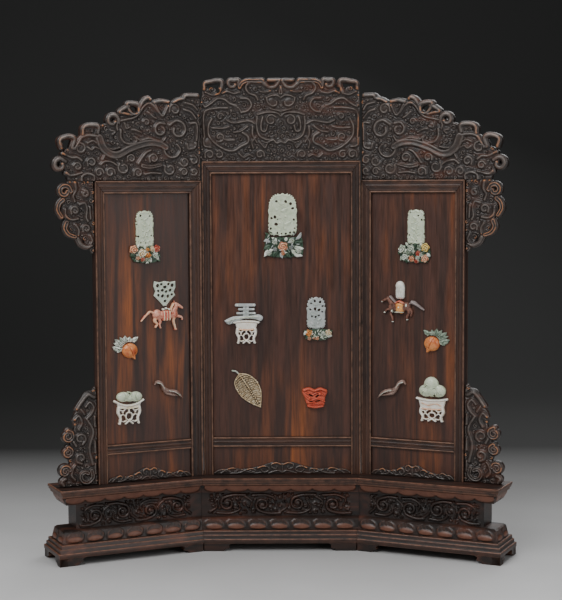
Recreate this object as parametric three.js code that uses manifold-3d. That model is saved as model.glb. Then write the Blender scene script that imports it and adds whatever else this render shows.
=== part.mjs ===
// Carved hardwood table screen: three framed panels with carved crests, standing on one
// moulded base, with jade, stone, coral and metal ornaments applied to the boards.
// Millimetres, +Z up, front towards -Y, origin under the middle of the base.

import * as THREE from 'three';
import Module from 'manifold-3d';
import { mergeVertices } from 'three/addons/utils/BufferGeometryUtils.js';
import { ConvexGeometry } from 'three/addons/geometries/ConvexGeometry.js';

const wasm = await Module();
wasm.setup();

// Driving dimensions

const wingAngle = THREE.MathUtils.degToRad(25);
const wingWidth = 134;         // framed wing panel
const centreWidth = 198;       // framed centre panel
const bendGap = 3;             // from the centre panel's side to the bend of the base
const hingeX = centreWidth / 2 + bendGap;
const centreShift = 3;         // the centre panel stands a little to the right on its seat
const leftSeat = 5;            // the left wing panel stands forward of the bend line
const rightSeat = -4;          // the right one behind it
const leftLap = 3.9;           // the wing panels run past the bend to meet the centre panel
const rightLap = 1.4;
const baseTop = 91;
const wingTop = 462;
const centreTop = 486;
const slabFront = 25;          // top slab edge ahead of the bend line
const slabDepth = 58;
const slabEnd = wingWidth + 54;
const seam = 0.3;              // clearance between neighbouring pieces

const frameDepth = 15;
const stileWidth = 12;
const topRailHeight = 15.5;
const middleRailTop = 138.8;
const middleRailBottom = 126.5;
const boardDepth = 7;
const boardRecess = 4;
const crestDepth = 11;
const crestGround = 4;         // how far the carving stands over its ground
const drawnWing = 134;         // panel widths for which carving and ornaments are drawn
const drawnCentre = 198;
const wingStretch = wingWidth / drawnWing;
const centreStretch = centreWidth / drawnCentre;

const waistTop = 71.5;
const waistBottom = 41;
const waistInset = 13;
const waistEndInset = 22;
const lotusBottom = 25.5;
const lotusMiddle = lotusBottom + 6.5;
const hangingMiddle = waistTop + 4.3;
const plinthBottom = 9.5;
const plinthOut = 4.5;         // the plinth passes the slab by this much
const footDepth = 11;

// Materials

function material(colour, roughness, metalness = 0) {
  return new THREE.MeshStandardMaterial({ color: colour, roughness, metalness });
}

const frameWood = material(0x3a2018, 0.45);
const boardWood = material(0x5a2c18, 0.5);
const carvedWood = material(0x30211b, 0.5);
const baseWood = material(0x241815, 0.5);
const paleJade = material(0xd3d9bb, 0.35);
const ivoryStone = material(0xe6dcc4, 0.45);
const leafStone = material(0x2f4a34, 0.45);
const coral = material(0xc23a1e, 0.4);
const peachStone = material(0xd8602c, 0.4);
const pinkStone = material(0xd58a6c, 0.45);
const darkStone = material(0x33302c, 0.45);
const pearl = material(0xd9cdbb, 0.3);
const giltMetal = material(0xc49a52, 0.4, 0.9);
const silverMetal = material(0xb4b6a4, 0.4, 0.8);

// Solids and their joining

function asSolid(geometry) {
  const bare = geometry.clone();
  bare.deleteAttribute('normal');
  bare.deleteAttribute('uv');
  const merged = mergeVertices(bare, 1e-4);
  const vertProperties = new Float32Array(merged.attributes.position.array);
  const triVerts = new Uint32Array(merged.index.array);
  return new wasm.Manifold(new wasm.Mesh({ numProp: 3, vertProperties, triVerts }));
}

function asGeometry(solid) {
  const mesh = solid.getMesh();
  const geometry = new THREE.BufferGeometry();
  geometry.setAttribute('position', new THREE.BufferAttribute(mesh.vertProperties, 3));
  geometry.setIndex(new THREE.BufferAttribute(mesh.triVerts, 1));
  geometry.computeVertexNormals();
  return geometry;
}

function join(geometries) {
  let solid = asSolid(geometries[0]);
  for (const geometry of geometries.slice(1)) {
    solid = solid.add(asSolid(geometry));
  }
  return asGeometry(solid);
}

function cut(geometry, holes) {
  let solid = asSolid(geometry);
  for (const hole of holes) {
    solid = solid.subtract(asSolid(hole));
  }
  return asGeometry(solid);
}

// A geometry seen in a mirror across x = 0, its faces turned out again

function mirrored(geometry) {
  const copy = geometry.index ? geometry.toNonIndexed() : geometry.clone();
  const position = copy.attributes.position;
  for (let i = 0; i < position.count; i += 3) {
    const [b, c] = [1, 2].map((k) => new THREE.Vector3().fromBufferAttribute(position, i + k));
    position.setX(i, -position.getX(i));
    position.setXYZ(i + 1, -c.x, c.y, c.z);
    position.setXYZ(i + 2, -b.x, b.y, b.z);
  }
  copy.computeVertexNormals();
  return copy;
}

// A plate drawn in x and z, from the front plane y = front back to y = back

function plate(shape, front, back, curveSegments = 6) {
  const geometry = new THREE.ExtrudeGeometry(shape, {
    depth: back - front, bevelEnabled: false, curveSegments,
  });
  geometry.rotateX(Math.PI / 2);
  geometry.translate(0, back, 0);
  return geometry;
}

// An outline from its corners, always counter-clockwise, so that holes cut the same way

function outline(points) {
  const corners = points.map(([x, z]) => new THREE.Vector2(x, z));
  if (THREE.ShapeUtils.isClockWise(corners)) {
    corners.reverse();
  }
  return new THREE.Shape(corners);
}

function block(x0, x1, y0, y1, z0, z1) {
  const geometry = new THREE.BoxGeometry(x1 - x0, y1 - y0, z1 - z0);
  geometry.translate((x0 + x1) / 2, (y0 + y1) / 2, (z0 + z1) / 2);
  return geometry;
}

// Level rings of plan corners, counter-clockwise from above, stacked into one closed body

function stack(rings) {
  const corners = rings[0].length;
  const positions = rings.flat(2);
  const index = [];
  for (let level = 0; level + 1 < rings.length; level += 1) {
    for (let i = 0; i < corners; i += 1) {
      const a = level * corners + i;
      const b = level * corners + (i + 1) % corners;
      index.push(a, b, b + corners, a, b + corners, a + corners);
    }
  }
  const last = (rings.length - 1) * corners;
  for (let i = 1; i + 1 < corners; i += 1) {
    index.push(0, i + 1, i);
    index.push(last, last + i, last + i + 1);
  }
  const geometry = new THREE.BufferGeometry();
  geometry.setAttribute('position', new THREE.Float32BufferAttribute(positions, 3));
  geometry.setIndex(index);
  return geometry;
}

// Carved strokes. A stroke is a centre line with a half width at its start and its end.

function curveThrough(points, samples) {
  const curve = new THREE.SplineCurve(points.map(([x, z]) => new THREE.Vector2(x, z)));
  return curve.getPoints(samples);
}

function spiral(x, z, radius, startTurn, turns, samples = 5) {
  const points = [];
  for (let i = 0; i <= samples; i += 1) {
    const along = i / samples;
    const angle = 2 * Math.PI * (startTurn + turns * along);
    const r = radius * (1 - 0.55 * along);
    points.push(new THREE.Vector2(x + r * Math.cos(angle), z + r * Math.sin(angle)));
  }
  return points;
}

function arc(x, z, radius, startTurn, turns, samples = 4) {
  const points = [];
  for (let i = 0; i <= samples; i += 1) {
    const angle = 2 * Math.PI * (startTurn + turns * i / samples);
    points.push(new THREE.Vector2(x + radius * Math.cos(angle), z + radius * Math.sin(angle)));
  }
  return points;
}

function ribbon(points, startHalf, endHalf, front, back) {
  const near = [];
  const far = [];
  points.forEach((point, i) => {
    const before = points[Math.max(i - 1, 0)];
    const after = points[Math.min(i + 1, points.length - 1)];
    const side = after.clone().sub(before).normalize();
    const half = THREE.MathUtils.lerp(startHalf, endHalf, i / (points.length - 1));
    near.push(new THREE.Vector2(point.x - side.y * half, point.y + side.x * half));
    far.unshift(new THREE.Vector2(point.x + side.y * half, point.y - side.x * half));
  });
  return plate(new THREE.Shape([...near, ...far]), front, back);
}

// Carving: a ground plate with strokes standing over it

function carving(ground, strokes, front, back) {
  const body = plate(ground, front + crestGround, back);
  const raised = strokes.map(([points, startHalf, endHalf]) => (
    ribbon(points, startHalf, endHalf, front, back - seam)));
  return join([body, ...raised]);
}

// Base

const mitre = Math.tan(wingAngle / 2);

function centreRing(z, out) {
  const front = slabFront + out;
  const back = slabFront - slabDepth - out;
  const half = (offset) => hingeX - offset * mitre - seam / 2;
  return [[-half(front), -front, z], [half(front), -front, z],
    [half(back), -back, z], [-half(back), -back, z]];
}

function wingRing(z, out, inset = out) {
  const front = slabFront + out;
  const back = slabFront - slabDepth - out;
  const start = (offset) => offset * mitre + seam / 2;
  const end = slabEnd + inset;
  return [[start(front), -front, z], [end, -front, z], [end, -back, z], [start(back), -back, z]];
}

// Height, front and back step, end step, of the cornice and of the lower part

const corniceLevels = [[waistTop + seam, -8.5], [81.8, -5], [82.2, -2.6], [84.8, -2.6],
  [85.2, -1], [87.4, -1], [87.8, 0], [baseTop, 0]];
const lowerLevels = [[plinthBottom, plinthOut], [15.2, plinthOut], [15.8, 2.2], [20.2, 2.2],
  [20.8, 0.2], [lotusBottom - 0.4, 0.2], [lotusBottom, -5.2], [37.5, -5.8], [waistBottom, -10],
  [waistBottom + 0.1, -waistInset, -waistEndInset], [waistTop, -waistInset, -waistEndInset]];

function petal(x, z, width, height, rise, front) {
  const points = [];
  for (let i = 0; i < 5; i += 1) {
    const angle = 2 * Math.PI * (i + 0.25) / 5;
    const [c, s] = [Math.cos(angle), Math.sin(angle)];
    points.push(new THREE.Vector3(x + width / 2 * c, front + 3, z + height / 2 * s));
    points.push(new THREE.Vector3(x + width * 0.3 * c, front - rise, z + height * 0.3 * s));
  }
  return new ConvexGeometry(points);
}

function petalRow(start, end, count, place) {
  const pitch = (end - start) / count;
  return Array.from({ length: count }, (_, i) => place(start + pitch * (i + 0.5), pitch));
}

function lotusRow(start, end, count, front) {
  return petalRow(start, end, count, (x, pitch) => (
    petal(x, lotusMiddle, pitch * 0.9, 12, 1.8, front + 2)));
}

function hangingRow(start, end, count, front) {
  return petalRow(start, end, count, (x, pitch) => (
    petal(x, hangingMiddle, pitch * 0.94, 9, 1.6, front + 2.2)));
}

// A row of petals across the end of a wing, drawn facing front and turned to the end

function acrossEnd(petals, end) {
  return petals.map((geometry) => {
    geometry.rotateZ(Math.PI / 2);
    geometry.translate(end, 0, 0);
    return geometry;
  });
}

// A bracket foot along the front: flat on the ground with a curled inner end

function footShape(length) {
  return outline([[0, 0], [length - 8, 0], [length - 6, 3], [length - 2, 3.4], [length - 1.5, 6.5],
    [length + 1, plinthBottom + 1], [0, plinthBottom + 1]]);
}

function foot(length, thickness) {
  return plate(footShape(length), 0, thickness);
}

function placed(geometry, x, y, turn = 0) {
  geometry.rotateZ(turn);
  geometry.translate(x, y, 0);
  return geometry;
}

const plinthFront = slabFront + plinthOut;
const plinthBack = slabFront - slabDepth - plinthOut;
const footInset = 0.5;
const innerFoot = 33;
const outerFoot = 31;
const sideFoot = 19;

function centreFeet() {
  const feet = [];
  for (const edge of [-plinthFront + footInset, -plinthBack - footInset - footDepth]) {
    const reach = hingeX + edge * mitre - seam;
    feet.push(placed(foot(innerFoot, footDepth), -reach, edge));
    feet.push(mirrored(placed(foot(innerFoot, footDepth), -reach, edge)));
  }
  return feet;
}

function wingFeet() {
  const end = slabEnd + plinthOut - footInset;
  const front = -plinthFront + footInset;
  const back = -plinthBack - footInset;
  const inner = Math.max(plinthFront * mitre, plinthBack * mitre) + seam;
  const feet = [
    placed(foot(innerFoot - 6, footDepth), inner, front),
    placed(foot(innerFoot - 6, footDepth), inner, back - footDepth),
  ];
  for (const y of [front, back - footDepth]) {
    const corner = foot(outerFoot, footDepth);
    feet.push(placed(mirrored(corner), end, y));
  }
  const along = mirrored(foot(sideFoot, footDepth));
  feet.push(placed(along.clone(), end, back, Math.PI / 2));
  feet.push(placed(mirrored(along), end, front, Math.PI / 2));
  return feet;
}

// Waist relief: a row of scrolls along a front, each with a curled tail

function waistScrolls(start, end, count) {
  const pitch = (end - start) / count;
  const middle = (waistTop + waistBottom) / 2;
  const front = -slabFront + waistInset - 2.4;
  const scrolls = [];
  for (let i = 0; i < count; i += 1) {
    const x = start + pitch * (i + 0.5);
    const up = i % 2 === 0 ? 1 : -1;
    const coil = spiral(x, middle + up, 9, 0.25 * up, up, 5);
    const tail = new THREE.Vector2(x + pitch * 0.5, middle + up * 8);
    scrolls.push(ribbon([tail, ...coil], 1.4, 1.5, front, front + 5));
  }
  return scrolls;
}

function centreCornice() {
  const rings = corniceLevels.map(([z, out]) => centreRing(z, out));
  const half = hingeX - slabFront * mitre;
  return join([stack(rings), ...hangingRow(-half + 2, half - 2, 7, -slabFront + 6)]);
}

function wingCornice() {
  const rings = corniceLevels.map(([z, out, inset]) => wingRing(z, out, inset));
  const front = hangingRow(slabFront * mitre + 2, slabEnd - 7, 7, -slabFront + 6);
  const side = acrossEnd(hangingRow(-slabFront + 8, slabDepth - slabFront - 8, 2, 0), slabEnd - 6);
  return join([stack(rings), ...front, ...side]);
}

function centrePlinth() {
  const rings = lowerLevels.map(([z, out]) => centreRing(z, out));
  const half = hingeX - slabFront * mitre;
  const petals = lotusRow(-half + 1, half - 1, 7, -slabFront + 3);
  return join([stack(rings), ...petals, ...waistScrolls(-half + 8, half - 8, 3), ...centreFeet()]);
}

function wingPlinth() {
  const rings = lowerLevels.map(([z, out, inset]) => wingRing(z, out, inset));
  const start = slabFront * mitre;
  const front = lotusRow(start + 1, slabEnd - 5, 7, -slabFront + 3);
  const side = acrossEnd(lotusRow(-slabFront + 5, slabDepth - slabFront - 5, 2, 0), slabEnd - 3);
  const scrolls = waistScrolls(start + 12, slabEnd - waistEndInset - 6, 3);
  return join([stack(rings), ...front, ...side, ...scrolls, ...wingFeet()]);
}

// Frames

function frameSizes(left, right, top) {
  return { left, right, top, innerLeft: left + stileWidth, innerRight: right - stileWidth };
}

function stile(x0, x1, top) {
  const body = block(x0, x1, 0, frameDepth, baseTop + seam, top);
  const groove = block((x0 + x1) / 2 - 1.1, (x0 + x1) / 2 + 1.1, -1, 0.9, baseTop - 1, top + 1);
  return cut(body, [groove]);
}

function rail(x0, x1, z0, z1) {
  const body = block(x0 + seam, x1 - seam, 0.4, frameDepth - 0.4, z0, z1);
  const groove = block(x0, x1, -1, 1.2, (z0 + z1) / 2 - 2.4, (z0 + z1) / 2 + 2.4);
  return cut(body, [groove]);
}

function board(size, z0, z1) {
  const back = boardRecess + boardDepth;
  return block(size.innerLeft + seam, size.innerRight - seam, boardRecess, back, z0 + seam, z1 - seam);
}

// The low carved apron at the foot of a panel: a wavy top edge with leaf scrolls

function apron(size) {
  const left = size.innerLeft + 2 * seam;
  const right = size.innerRight - 2 * seam;
  const middle = (left + right) / 2;
  const half = (right - left) / 2;
  const foot = baseTop + seam;
  const rise = [[-1, 3], [-0.75, 7.5], [-0.55, 6], [-0.15, 16], [0, 14], [0.15, 16], [0.55, 6],
    [0.75, 7.5], [1, 3]];
  const ground = outline([[left, foot], [right, foot],
    ...rise.map(([share, height]) => [middle + half * share, foot + height]).reverse()]);
  const front = 0.8;
  const strokes = [];
  for (const side of [-1, 1]) {
    const x = middle + side * half * 0.15;
    strokes.push([spiral(x, foot + 8.5, 5, side > 0 ? 0 : 0.5, side * 0.8, 4), 1.3, 0.9]);
  }
  const body = plate(ground, front + 1.4, boardRecess - seam);
  const back = boardRecess - 2 * seam;
  return join([body, ...strokes.map(([points, a, b]) => ribbon(points, a, b, front, back))]);
}

// Crests and side pieces. x runs across the panel and z is height over the panel's top.

const crestFront = -1;
const crestBack = crestFront + crestDepth;

function centreCrest() {
  const foot = centreTop + seam;
  const half = drawnCentre / 2 - 1;
  const side = [[half, 0], [half, 82], [93, 88], [84, 90], [76, 84], [66, 89], [56, 93], [50, 88],
    [44, 96], [36, 100], [28, 98], [20, 92], [13, 88], [6, 92]];
  const ground = outline([...side, ...side.slice().reverse().map(([x, z]) => [-x, z])]
    .map(([x, z]) => [x, foot + z]));
  const line = (points, samples = 3) => curveThrough(points.map(([x, z]) => [x, foot + z]), samples);
  const rightHalf = [
    [line([[2.6, 86], [3, 96], [7, 101.5], [12, 99], [11.5, 95]]), 2.4, 1.6],
    [line([[13, 90], [21, 93], [28, 101], [38, 102], [45, 96], [43, 86], [34, 79], [27, 75]], 6), 2, 1.5],
    [line([[49, 88], [51, 96], [58, 99.5], [64, 95], [61, 90]], 4), 2.2, 1.6],
    [line([[97, 80], [91, 91], [80, 97], [73, 94], [72.5, 88], [77, 85]]), 2.4, 1.6],
    [line([[5, 61], [27, 63], [30, 44], [17, 22]], 4), 1.5, 1.3],
    [arc(66, foot + 36, 23, 0.45, 0.65, 6), 1.6, 2.6],
    [line([[58, 69], [76, 78], [95, 67]], 3), 1.6, 1.2],
    [spiral(68, foot + 38, 11, 0.5, 1.1, 5), 1.8, 1.2],
  ];
  const strokes = rightHalf.concat(rightHalf.map(([points, a, b]) => [
    points.map((p) => new THREE.Vector2(-p.x, p.y)), a, b]));
  return carving(ground, strokes, crestFront, crestBack).scale(centreStretch, 1, 1);
}

function wingCrest(lap) {
  const foot = wingTop + seam;
  const near = seam - lap;
  const ground = outline([[near, 0], [near, 106], [17, 107], [23, 102], [33, 97], [37, 92], [39, 96.5],
    [56, 96.5],
    [60, 92], [66, 94], [74, 88], [84, 80], [97, 78], [108, 71], [126, 66], [147, 66], [151, 50], [159, 42],
    [170, 38], [175, 26], [170, 12], [167, 0]].map(([x, z]) => [x, foot + z]));
  const line = (points, samples = 3) => curveThrough(points.map(([x, z]) => [x, foot + z]), samples);
  const strokes = [
    [line([[58, 90], [63, 97], [66, 101]], 2), 2, 1],
    [arc(81, foot + 87.5, 6, -0.05, 0.85), 2, 2],
    [line([[86, 84], [93, 84], [101, 82]], 2), 2.2, 1.2],
    [spiral(110, foot + 75, 6, 0.6, 0.95), 1.9, 1.4],
    [line([[126, 60], [127, 68], [138, 70], [149, 68.5], [150, 62]], 4), 1.8, 1.8],
    [line([[153, 44], [154, 54], [164, 56.5], [175, 52], [176, 44]], 4), 2, 2.2],
    [spiral(177, foot + 24, 6.5, 0.4, -0.9), 2.1, 1.5],
    [line([[129, 60], [122, 46], [110, 39], [94, 43], [78, 49], [63, 52], [50, 49], [42, 38], [33, 34],
      [25, 42]], 7), 4.6, 2],
    [spiral(27, foot + 60, 9, -0.1, 1, 5), 2, 1.2],
    [spiral(49, foot + 64, 7, 0.3, -1, 5), 1.8, 1.2],
    [line([[96, 76], [72, 84], [51, 88], [46, 80], [20, 90]], 5), 1.5, 1.5],
    [spiral(154, foot + 18, 8, 0.2, -1, 5), 1.8, 1.2],
  ];
  return carving(ground, strokes, crestFront, crestBack).scale(wingStretch, 1, 1);
}

// The ear and the spandrel are drawn from the outer side of the wing's frame

function ear() {
  const top = wingTop - seam;
  const near = 2 * seam;
  const ground = outline([[near, 0], [33, 0], [29, -10], [35, -17], [41, -26], [41, -38], [34, -46],
    [33, -58], [26, -66], [16, -70], [9, -80], [near, -82]].map(([x, z]) => [x, top + z]));
  const strokes = [
    [arc(38, top - 11, 6, 0.55, -0.85), 2, 2],
    [arc(39, top - 32, 6.5, 0.25, -0.5, 3), 2.2, 2.2],
    [arc(29, top - 54, 6.5, 0.15, -0.5, 3), 2.2, 2.2],
    [arc(10, top - 11, 5.5, -0.25, 0.8, 4), 1.6, 1.4],
    [spiral(21, top - 36, 7.5, 0.3, 1.1), 1.8, 1.2],
  ];
  return carving(ground, strokes, crestFront + 1, crestBack - 1).translate(wingWidth, 0, 0);
}

function spandrel() {
  const foot = baseTop + seam;
  const near = 2 * seam;
  const ground = outline([[near, 0], [42, 0], [46, 8], [42, 20], [36, 28], [40, 38], [34, 48], [37, 60],
    [30, 70], [31, 84], [25, 96], [18, 112], [8, 116], [near, 111]].map(([x, z]) => [x, foot + z]));
  const line = (points, samples = 3) => curveThrough(points.map(([x, z]) => [x, foot + z]), samples);
  const strokes = [
    [line([[4, 108], [12, 111], [26, 95]], 3), 2, 1.6],
    [arc(39, foot + 62, 6, 0.6, -0.9), 2, 1.8],
    [arc(39, foot + 41, 5, 0.3, -0.6, 4), 2, 2],
    [arc(42, foot + 20, 5, 0.5, -0.8), 2, 1.8],
    [arc(16, foot + 12, 9, 0.4, 0.95), 1.8, 1.8],
    [spiral(21, foot + 34, 6.5, -0.25, 1.1), 1.7, 1.2],
  ];
  return carving(ground, strokes, crestFront + 1, crestBack - 1).translate(wingWidth, 0, 0);
}

// Ornaments, fixed on the face of a board. x and z are places on the panel.

const on = boardRecess - seam;

function applied(points, thickness, holes = [], holeSize = 1.1, lift = 0) {
  const shape = outline(points);
  for (const [x, z] of holes) {
    shape.holes.push(new THREE.Path(arc(x, z, holeSize, 0.05, -0.75, 3)));
  }
  return plate(shape, on - lift - thickness, on - lift, 3);
}

function dome(x, z, halfWidth, halfHeight, thickness, sides = 6, back = on) {
  const points = [];
  for (let i = 0; i < sides; i += 1) {
    const angle = 2 * Math.PI * (i + 0.5) / sides;
    const [c, s] = [Math.cos(angle), Math.sin(angle)];
    points.push(new THREE.Vector3(x + halfWidth * c, back, z + halfHeight * s));
    points.push(new THREE.Vector3(x + halfWidth * 0.6 * c, back - thickness, z + halfHeight * 0.6 * s));
  }
  return new ConvexGeometry(points);
}

function leaf(x0, z0, x1, z1, width, thickness, back = on) {
  const along = new THREE.Vector2(x1 - x0, z1 - z0);
  const side = new THREE.Vector2(-along.y, along.x).normalize().multiplyScalar(width / 2);
  const points = [];
  for (const [share, part] of [[0, 0], [0.3, 1], [0.7, 0.75], [1, 0], [0.7, -0.75], [0.3, -1]]) {
    const x = x0 + along.x * share + side.x * part;
    const z = z0 + along.y * share + side.y * part;
    points.push(new THREE.Vector3(x, back, z));
  }
  for (const share of [0.15, 0.5, 0.8]) {
    points.push(new THREE.Vector3(x0 + along.x * share, back - thickness, z0 + along.y * share));
  }
  return new ConvexGeometry(points);
}

function stroke(points, startHalf, endHalf, thickness, samples = 3, back = on) {
  return ribbon(curveThrough(points, samples), startHalf, endHalf, back - thickness, back);
}

const plaqueThickness = 3.2;
const bloomBack = on - plaqueThickness - seam;

function plaque(x0, x1, z0, z1, corner, holes) {
  const r = corner;
  return applied([[x0 + 2, z0], [x1 - 2, z0], [x1, z0 + 3], [x1 + 0.4, (z0 + z1) / 2], [x1 - 0.4, z1 - r],
    [x1 - r * 0.35, z1 - r * 0.3], [x1 - r, z1], [x0 + r, z1], [x0 + r * 0.35, z1 - r * 0.3],
    [x0 + 0.4, z1 - r], [x0 - 0.4, (z0 + z1) / 2], [x0, z0 + 3]], plaqueThickness, holes);
}

function flowers(foliage, blooms) {
  const leaves = applied(foliage, plaqueThickness + 1.3);
  return join([leaves, ...blooms.map(([x, z, radius]) => dome(x, z, radius, radius, 3, 5, bloomBack))]);
}

function horse(pose) {
  const { body, neck, head, legs, tail, cloth } = pose;
  return join([
    dome(...body, 6.5, 7),
    stroke(neck, 4.4, 2.8, 5, 2),
    leaf(...head, 7, 5.4),
    ...legs.map((leg) => stroke(leg, 2.6, 1.3, 3.6, 2)),
    stroke(tail, 1.4, 2.4, 3, 2),
    block(cloth[0], cloth[1], on - 7.4, on - 0.5, cloth[2], cloth[3]),
  ]);
}

function peach(x, z) {
  return join([dome(x, z, 9.6, 9, 7, 8), leaf(x + 2, z + 6, x - 5, z - 11, 9, 5)]);
}

function peachLeaves(x, z) {
  return join([
    ribbon(arc(x, z, 11.4, 0.02, 0.34, 6), 0.8, 0.8, on - 1.6, on),
    leaf(x + 10.6, z + 1.5, x + 22.5, z + 5, 7, 2.4),
    leaf(x + 8.4, z + 7.4, x + 19, z + 14, 6.5, 2.4),
    leaf(x + 4, z + 10.6, x + 6, z + 18, 6.5, 2.4),
    leaf(x - 4, z + 10.6, x - 10, z + 16, 6, 2.4),
  ]);
}

function pod(x, z) {
  return join([
    stroke([[x - 1, z + 14], [x - 6, z + 19], [x - 12, z + 15], [x - 15, z + 7], [x - 22, z + 3]],
      3, 4, 5, 5),
    dome(x - 29, z + 1.5, 8, 4.4, 5.5),
    dome(x - 10, z + 4.6, 5.4, 3.8, 5),
    leaf(x - 30, z, x - 36, z - 5.5, 5, 3),
  ]);
}

function standLegs(x, z, width) {
  const w = width / 2;
  const outer = [[w * 0.86, 18], [w * 0.92, 10], [w * 0.8, 0.5], [w * 0.5, 0], [w * 0.42, 6],
    [w * 0.16, 2]];
  const inner = outer.slice().reverse().map(([dx, dz]) => [-dx, dz]);
  return [...outer, ...inner].map(([dx, dz]) => [x + dx, z + dz]);
}

function pierced(x, z, halfWidth, halfHeight) {
  const gap = outline([[x - halfWidth, z], [x - halfWidth * 0.3, z - halfHeight],
    [x + halfWidth, z - halfHeight * 0.4], [x + halfWidth * 0.6, z + halfHeight],
    [x - halfWidth * 0.5, z + halfHeight]]);
  return plate(gap, on - 20, on + 1);
}

// A pierced table stand with a hollowed rim

function stand(rimLeft, rimRight, rimHeight, sag, floor) {
  const middle = (rimLeft + rimRight) / 2;
  const half = (rimRight - rimLeft) / 2;
  const rim = [];
  for (let i = 0; i <= 6; i += 1) {
    const across = i / 3 - 1;
    rim.push([middle + half * across, rimHeight - sag * (1 - across * across)]);
  }
  const legs = standLegs(middle, floor, half * 1.7);
  const shoulder = (side) => [middle + side * half * 0.82, rimHeight - 9];
  const body = applied([...legs, shoulder(-1), ...rim, shoulder(1)], 5);
  const gap = half * 0.34;
  return cut(body, [pierced(middle - gap, floor + 12, 3.2, 5), pierced(middle + gap, floor + 12, -3.2, 5)]);
}

const leftWingPieces = {
  plaque: [plaque(59, 82, 380.9, 425.9, 4, [[64, 419], [76, 419], [63, 395], [79, 394]]), paleJade],
  plaque_flowers: [flowers([[52, 362], [68, 360.4], [87, 363], [90, 374], [84, 380.5], [57, 380.5],
    [51, 374]],
    [[85.6, 378.8, 5.2], [74.2, 373.6, 5.6], [55.2, 379.1, 4.6], [66.6, 369.6, 4.4], [58, 371, 4]]),
      pinkStone],
  pendant: [applied([[31, 320.5], [33, 325], [30.6, 330], [31, 338], [59, 338.6], [60, 332],
    [57.6, 326], [60, 320.5],
    [52, 313], [47.5, 307.2], [43, 307.6], [38, 314]], 3, [[38, 331], [52, 331.5], [41, 321.6],
      [49, 322]], 2), paleJade],
  horse: [horse({
    body: [45, 295.4, 14.6, 6.4],
    neck: [[35, 296], [33, 302], [33, 307]],
    head: [36.4, 308.6, 22.2, 303.6],
    legs: [[[33, 295], [34.4, 288], [32, 277.6]], [[32, 296], [28, 292.4], [22.6, 291]],
      [[55, 296], [51.6, 290], [57.6, 281]], [[51, 292], [50, 286], [51.4, 280.4]]],
    tail: [[58, 299], [66, 297.5], [74, 290.6]],
    cloth: [38.4, 49.2, 289.6, 301],
  }), pinkStone],
  peach: [peach(91.2, 254.4), peachStone],
  peach_leaves: [peachLeaves(91.2, 254.4), silverMetal],
  pod: [pod(60.4, 197), pearl],
  jade_fruit: [join([dome(84.6, 197.8, 8.8, 7.2, 6), dome(101, 198.2, 8.8, 7.2, 6),
    applied([[84, 192.6], [92.8, 191], [102, 192.6], [102, 200], [84, 200]], 4)]), paleJade],
  stand: [stand(74.5, 113, 194.4, 6.8, 162.4), ivoryStone],
};

const rightWingPieces = {
  plaque: [plaque(60, 82.4, 382.6, 425.6, 4.5, [[74.3, 418], [78.8, 412.8], [62.8, 394], [79, 394]]),
    paleJade],
  plaque_flowers: [flowers([[50, 361], [66, 358.9], [88, 360], [89, 374], [85, 382.2], [57, 382.2],
    [49, 376]],
    [[53.4, 377.2, 5.2], [65.4, 377.4, 4.8], [83.5, 378.9, 5.6], [74.8, 370.6, 4.8], [56.4, 366.6, 4.8],
      [66, 364.8, 4.8], [83.2, 365, 5.6]]), pinkStone],
  jade_figure: [join([dome(50.2, 330.6, 6.4, 6.2, 5), dome(50.2, 321, 6, 5.6, 4.6)]), paleJade],
  horse: [horse({
    body: [50, 303.4, 14, 6],
    neck: [[41, 303], [38, 308], [36, 313]],
    head: [38.6, 315.6, 25.6, 310],
    legs: [[[40, 301], [38, 295], [41, 285.8]], [[40, 302], [34, 299.6], [30.4, 296.4]],
      [[60, 302], [61, 296], [59.6, 288.8]], [[61, 303], [64, 298], [65, 292.4]]],
    tail: [[62, 306], [69, 310.4], [82, 301.4]],
    cloth: [45.4, 55, 297, 310],
  }), darkStone],
  peach: [peach(91.8, 260.4), peachStone],
  peach_leaves: [peachLeaves(91.8, 260.4), silverMetal],
  pod: [pod(58.4, 195), pearl],
  boulder: [join([dome(91.4, 209.6, 8.6, 9, 6), dome(84.2, 200, 8.2, 6.4, 5.4),
    dome(101, 200.4, 8.6, 7, 5.4)]), paleJade],
  stand: [stand(72.4, 113, 193.2, 2.4, 163), ivoryStone],
};

const steppedJade = join([
  block(-57.3, -34, on - 3.6, on, 304.1, 308),
  block(-53.6, -34.9, on - 3.6, on, 299.6, 302.6),
  block(-55.8, -33.5, on - 3.6, on, 294.6, 297.6),
  block(-48.5, -41.4, on - 3.2, on, 290, 306),
  applied([[-72.5, 286.6], [-63, 291.4], [-53, 292.8], [-41, 293], [-30, 294.6], [-24.4, 292.4],
    [-23.6, 288.6],
    [-27, 285.8], [-33, 288.2], [-45, 289.2], [-55, 286.2], [-61, 283], [-67.5, 281.8]], 5),
]);

const steppedStand = cut(applied([[-60.4, 282.4], [-55, 285.6], [-45, 288.6], [-33, 287.6],
  [-28.6, 284.6], [-29.4, 279],
  [-32, 275.6], [-30.6, 270], [-33, 264], [-32, 258.6], [-36, 257.4], [-38.4, 263.6], [-45, 260.4],
    [-51.6, 263.6],
  [-53.4, 257.4], [-57, 258.6], [-56, 264], [-59, 270], [-57, 275.6], [-60, 279]], 5),
[pierced(-49.4, 268.4, 2.8, 4.2), pierced(-40.4, 268.4, -2.8, 4.2)]);

const gildedLeaf = join([
  applied([[-54.3, 220.4], [-60, 211], [-59.6, 203], [-53, 191.6], [-42, 183], [-27.4, 177.6], [-25.6, 189],
    [-26.6, 200.4], [-33, 212], [-43, 219]], 1.8),
  stroke([[-62.6, 223.6], [-54, 219], [-44, 204], [-28.4, 179.4]], 1, 0.6, 3, 6),
]);

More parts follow.
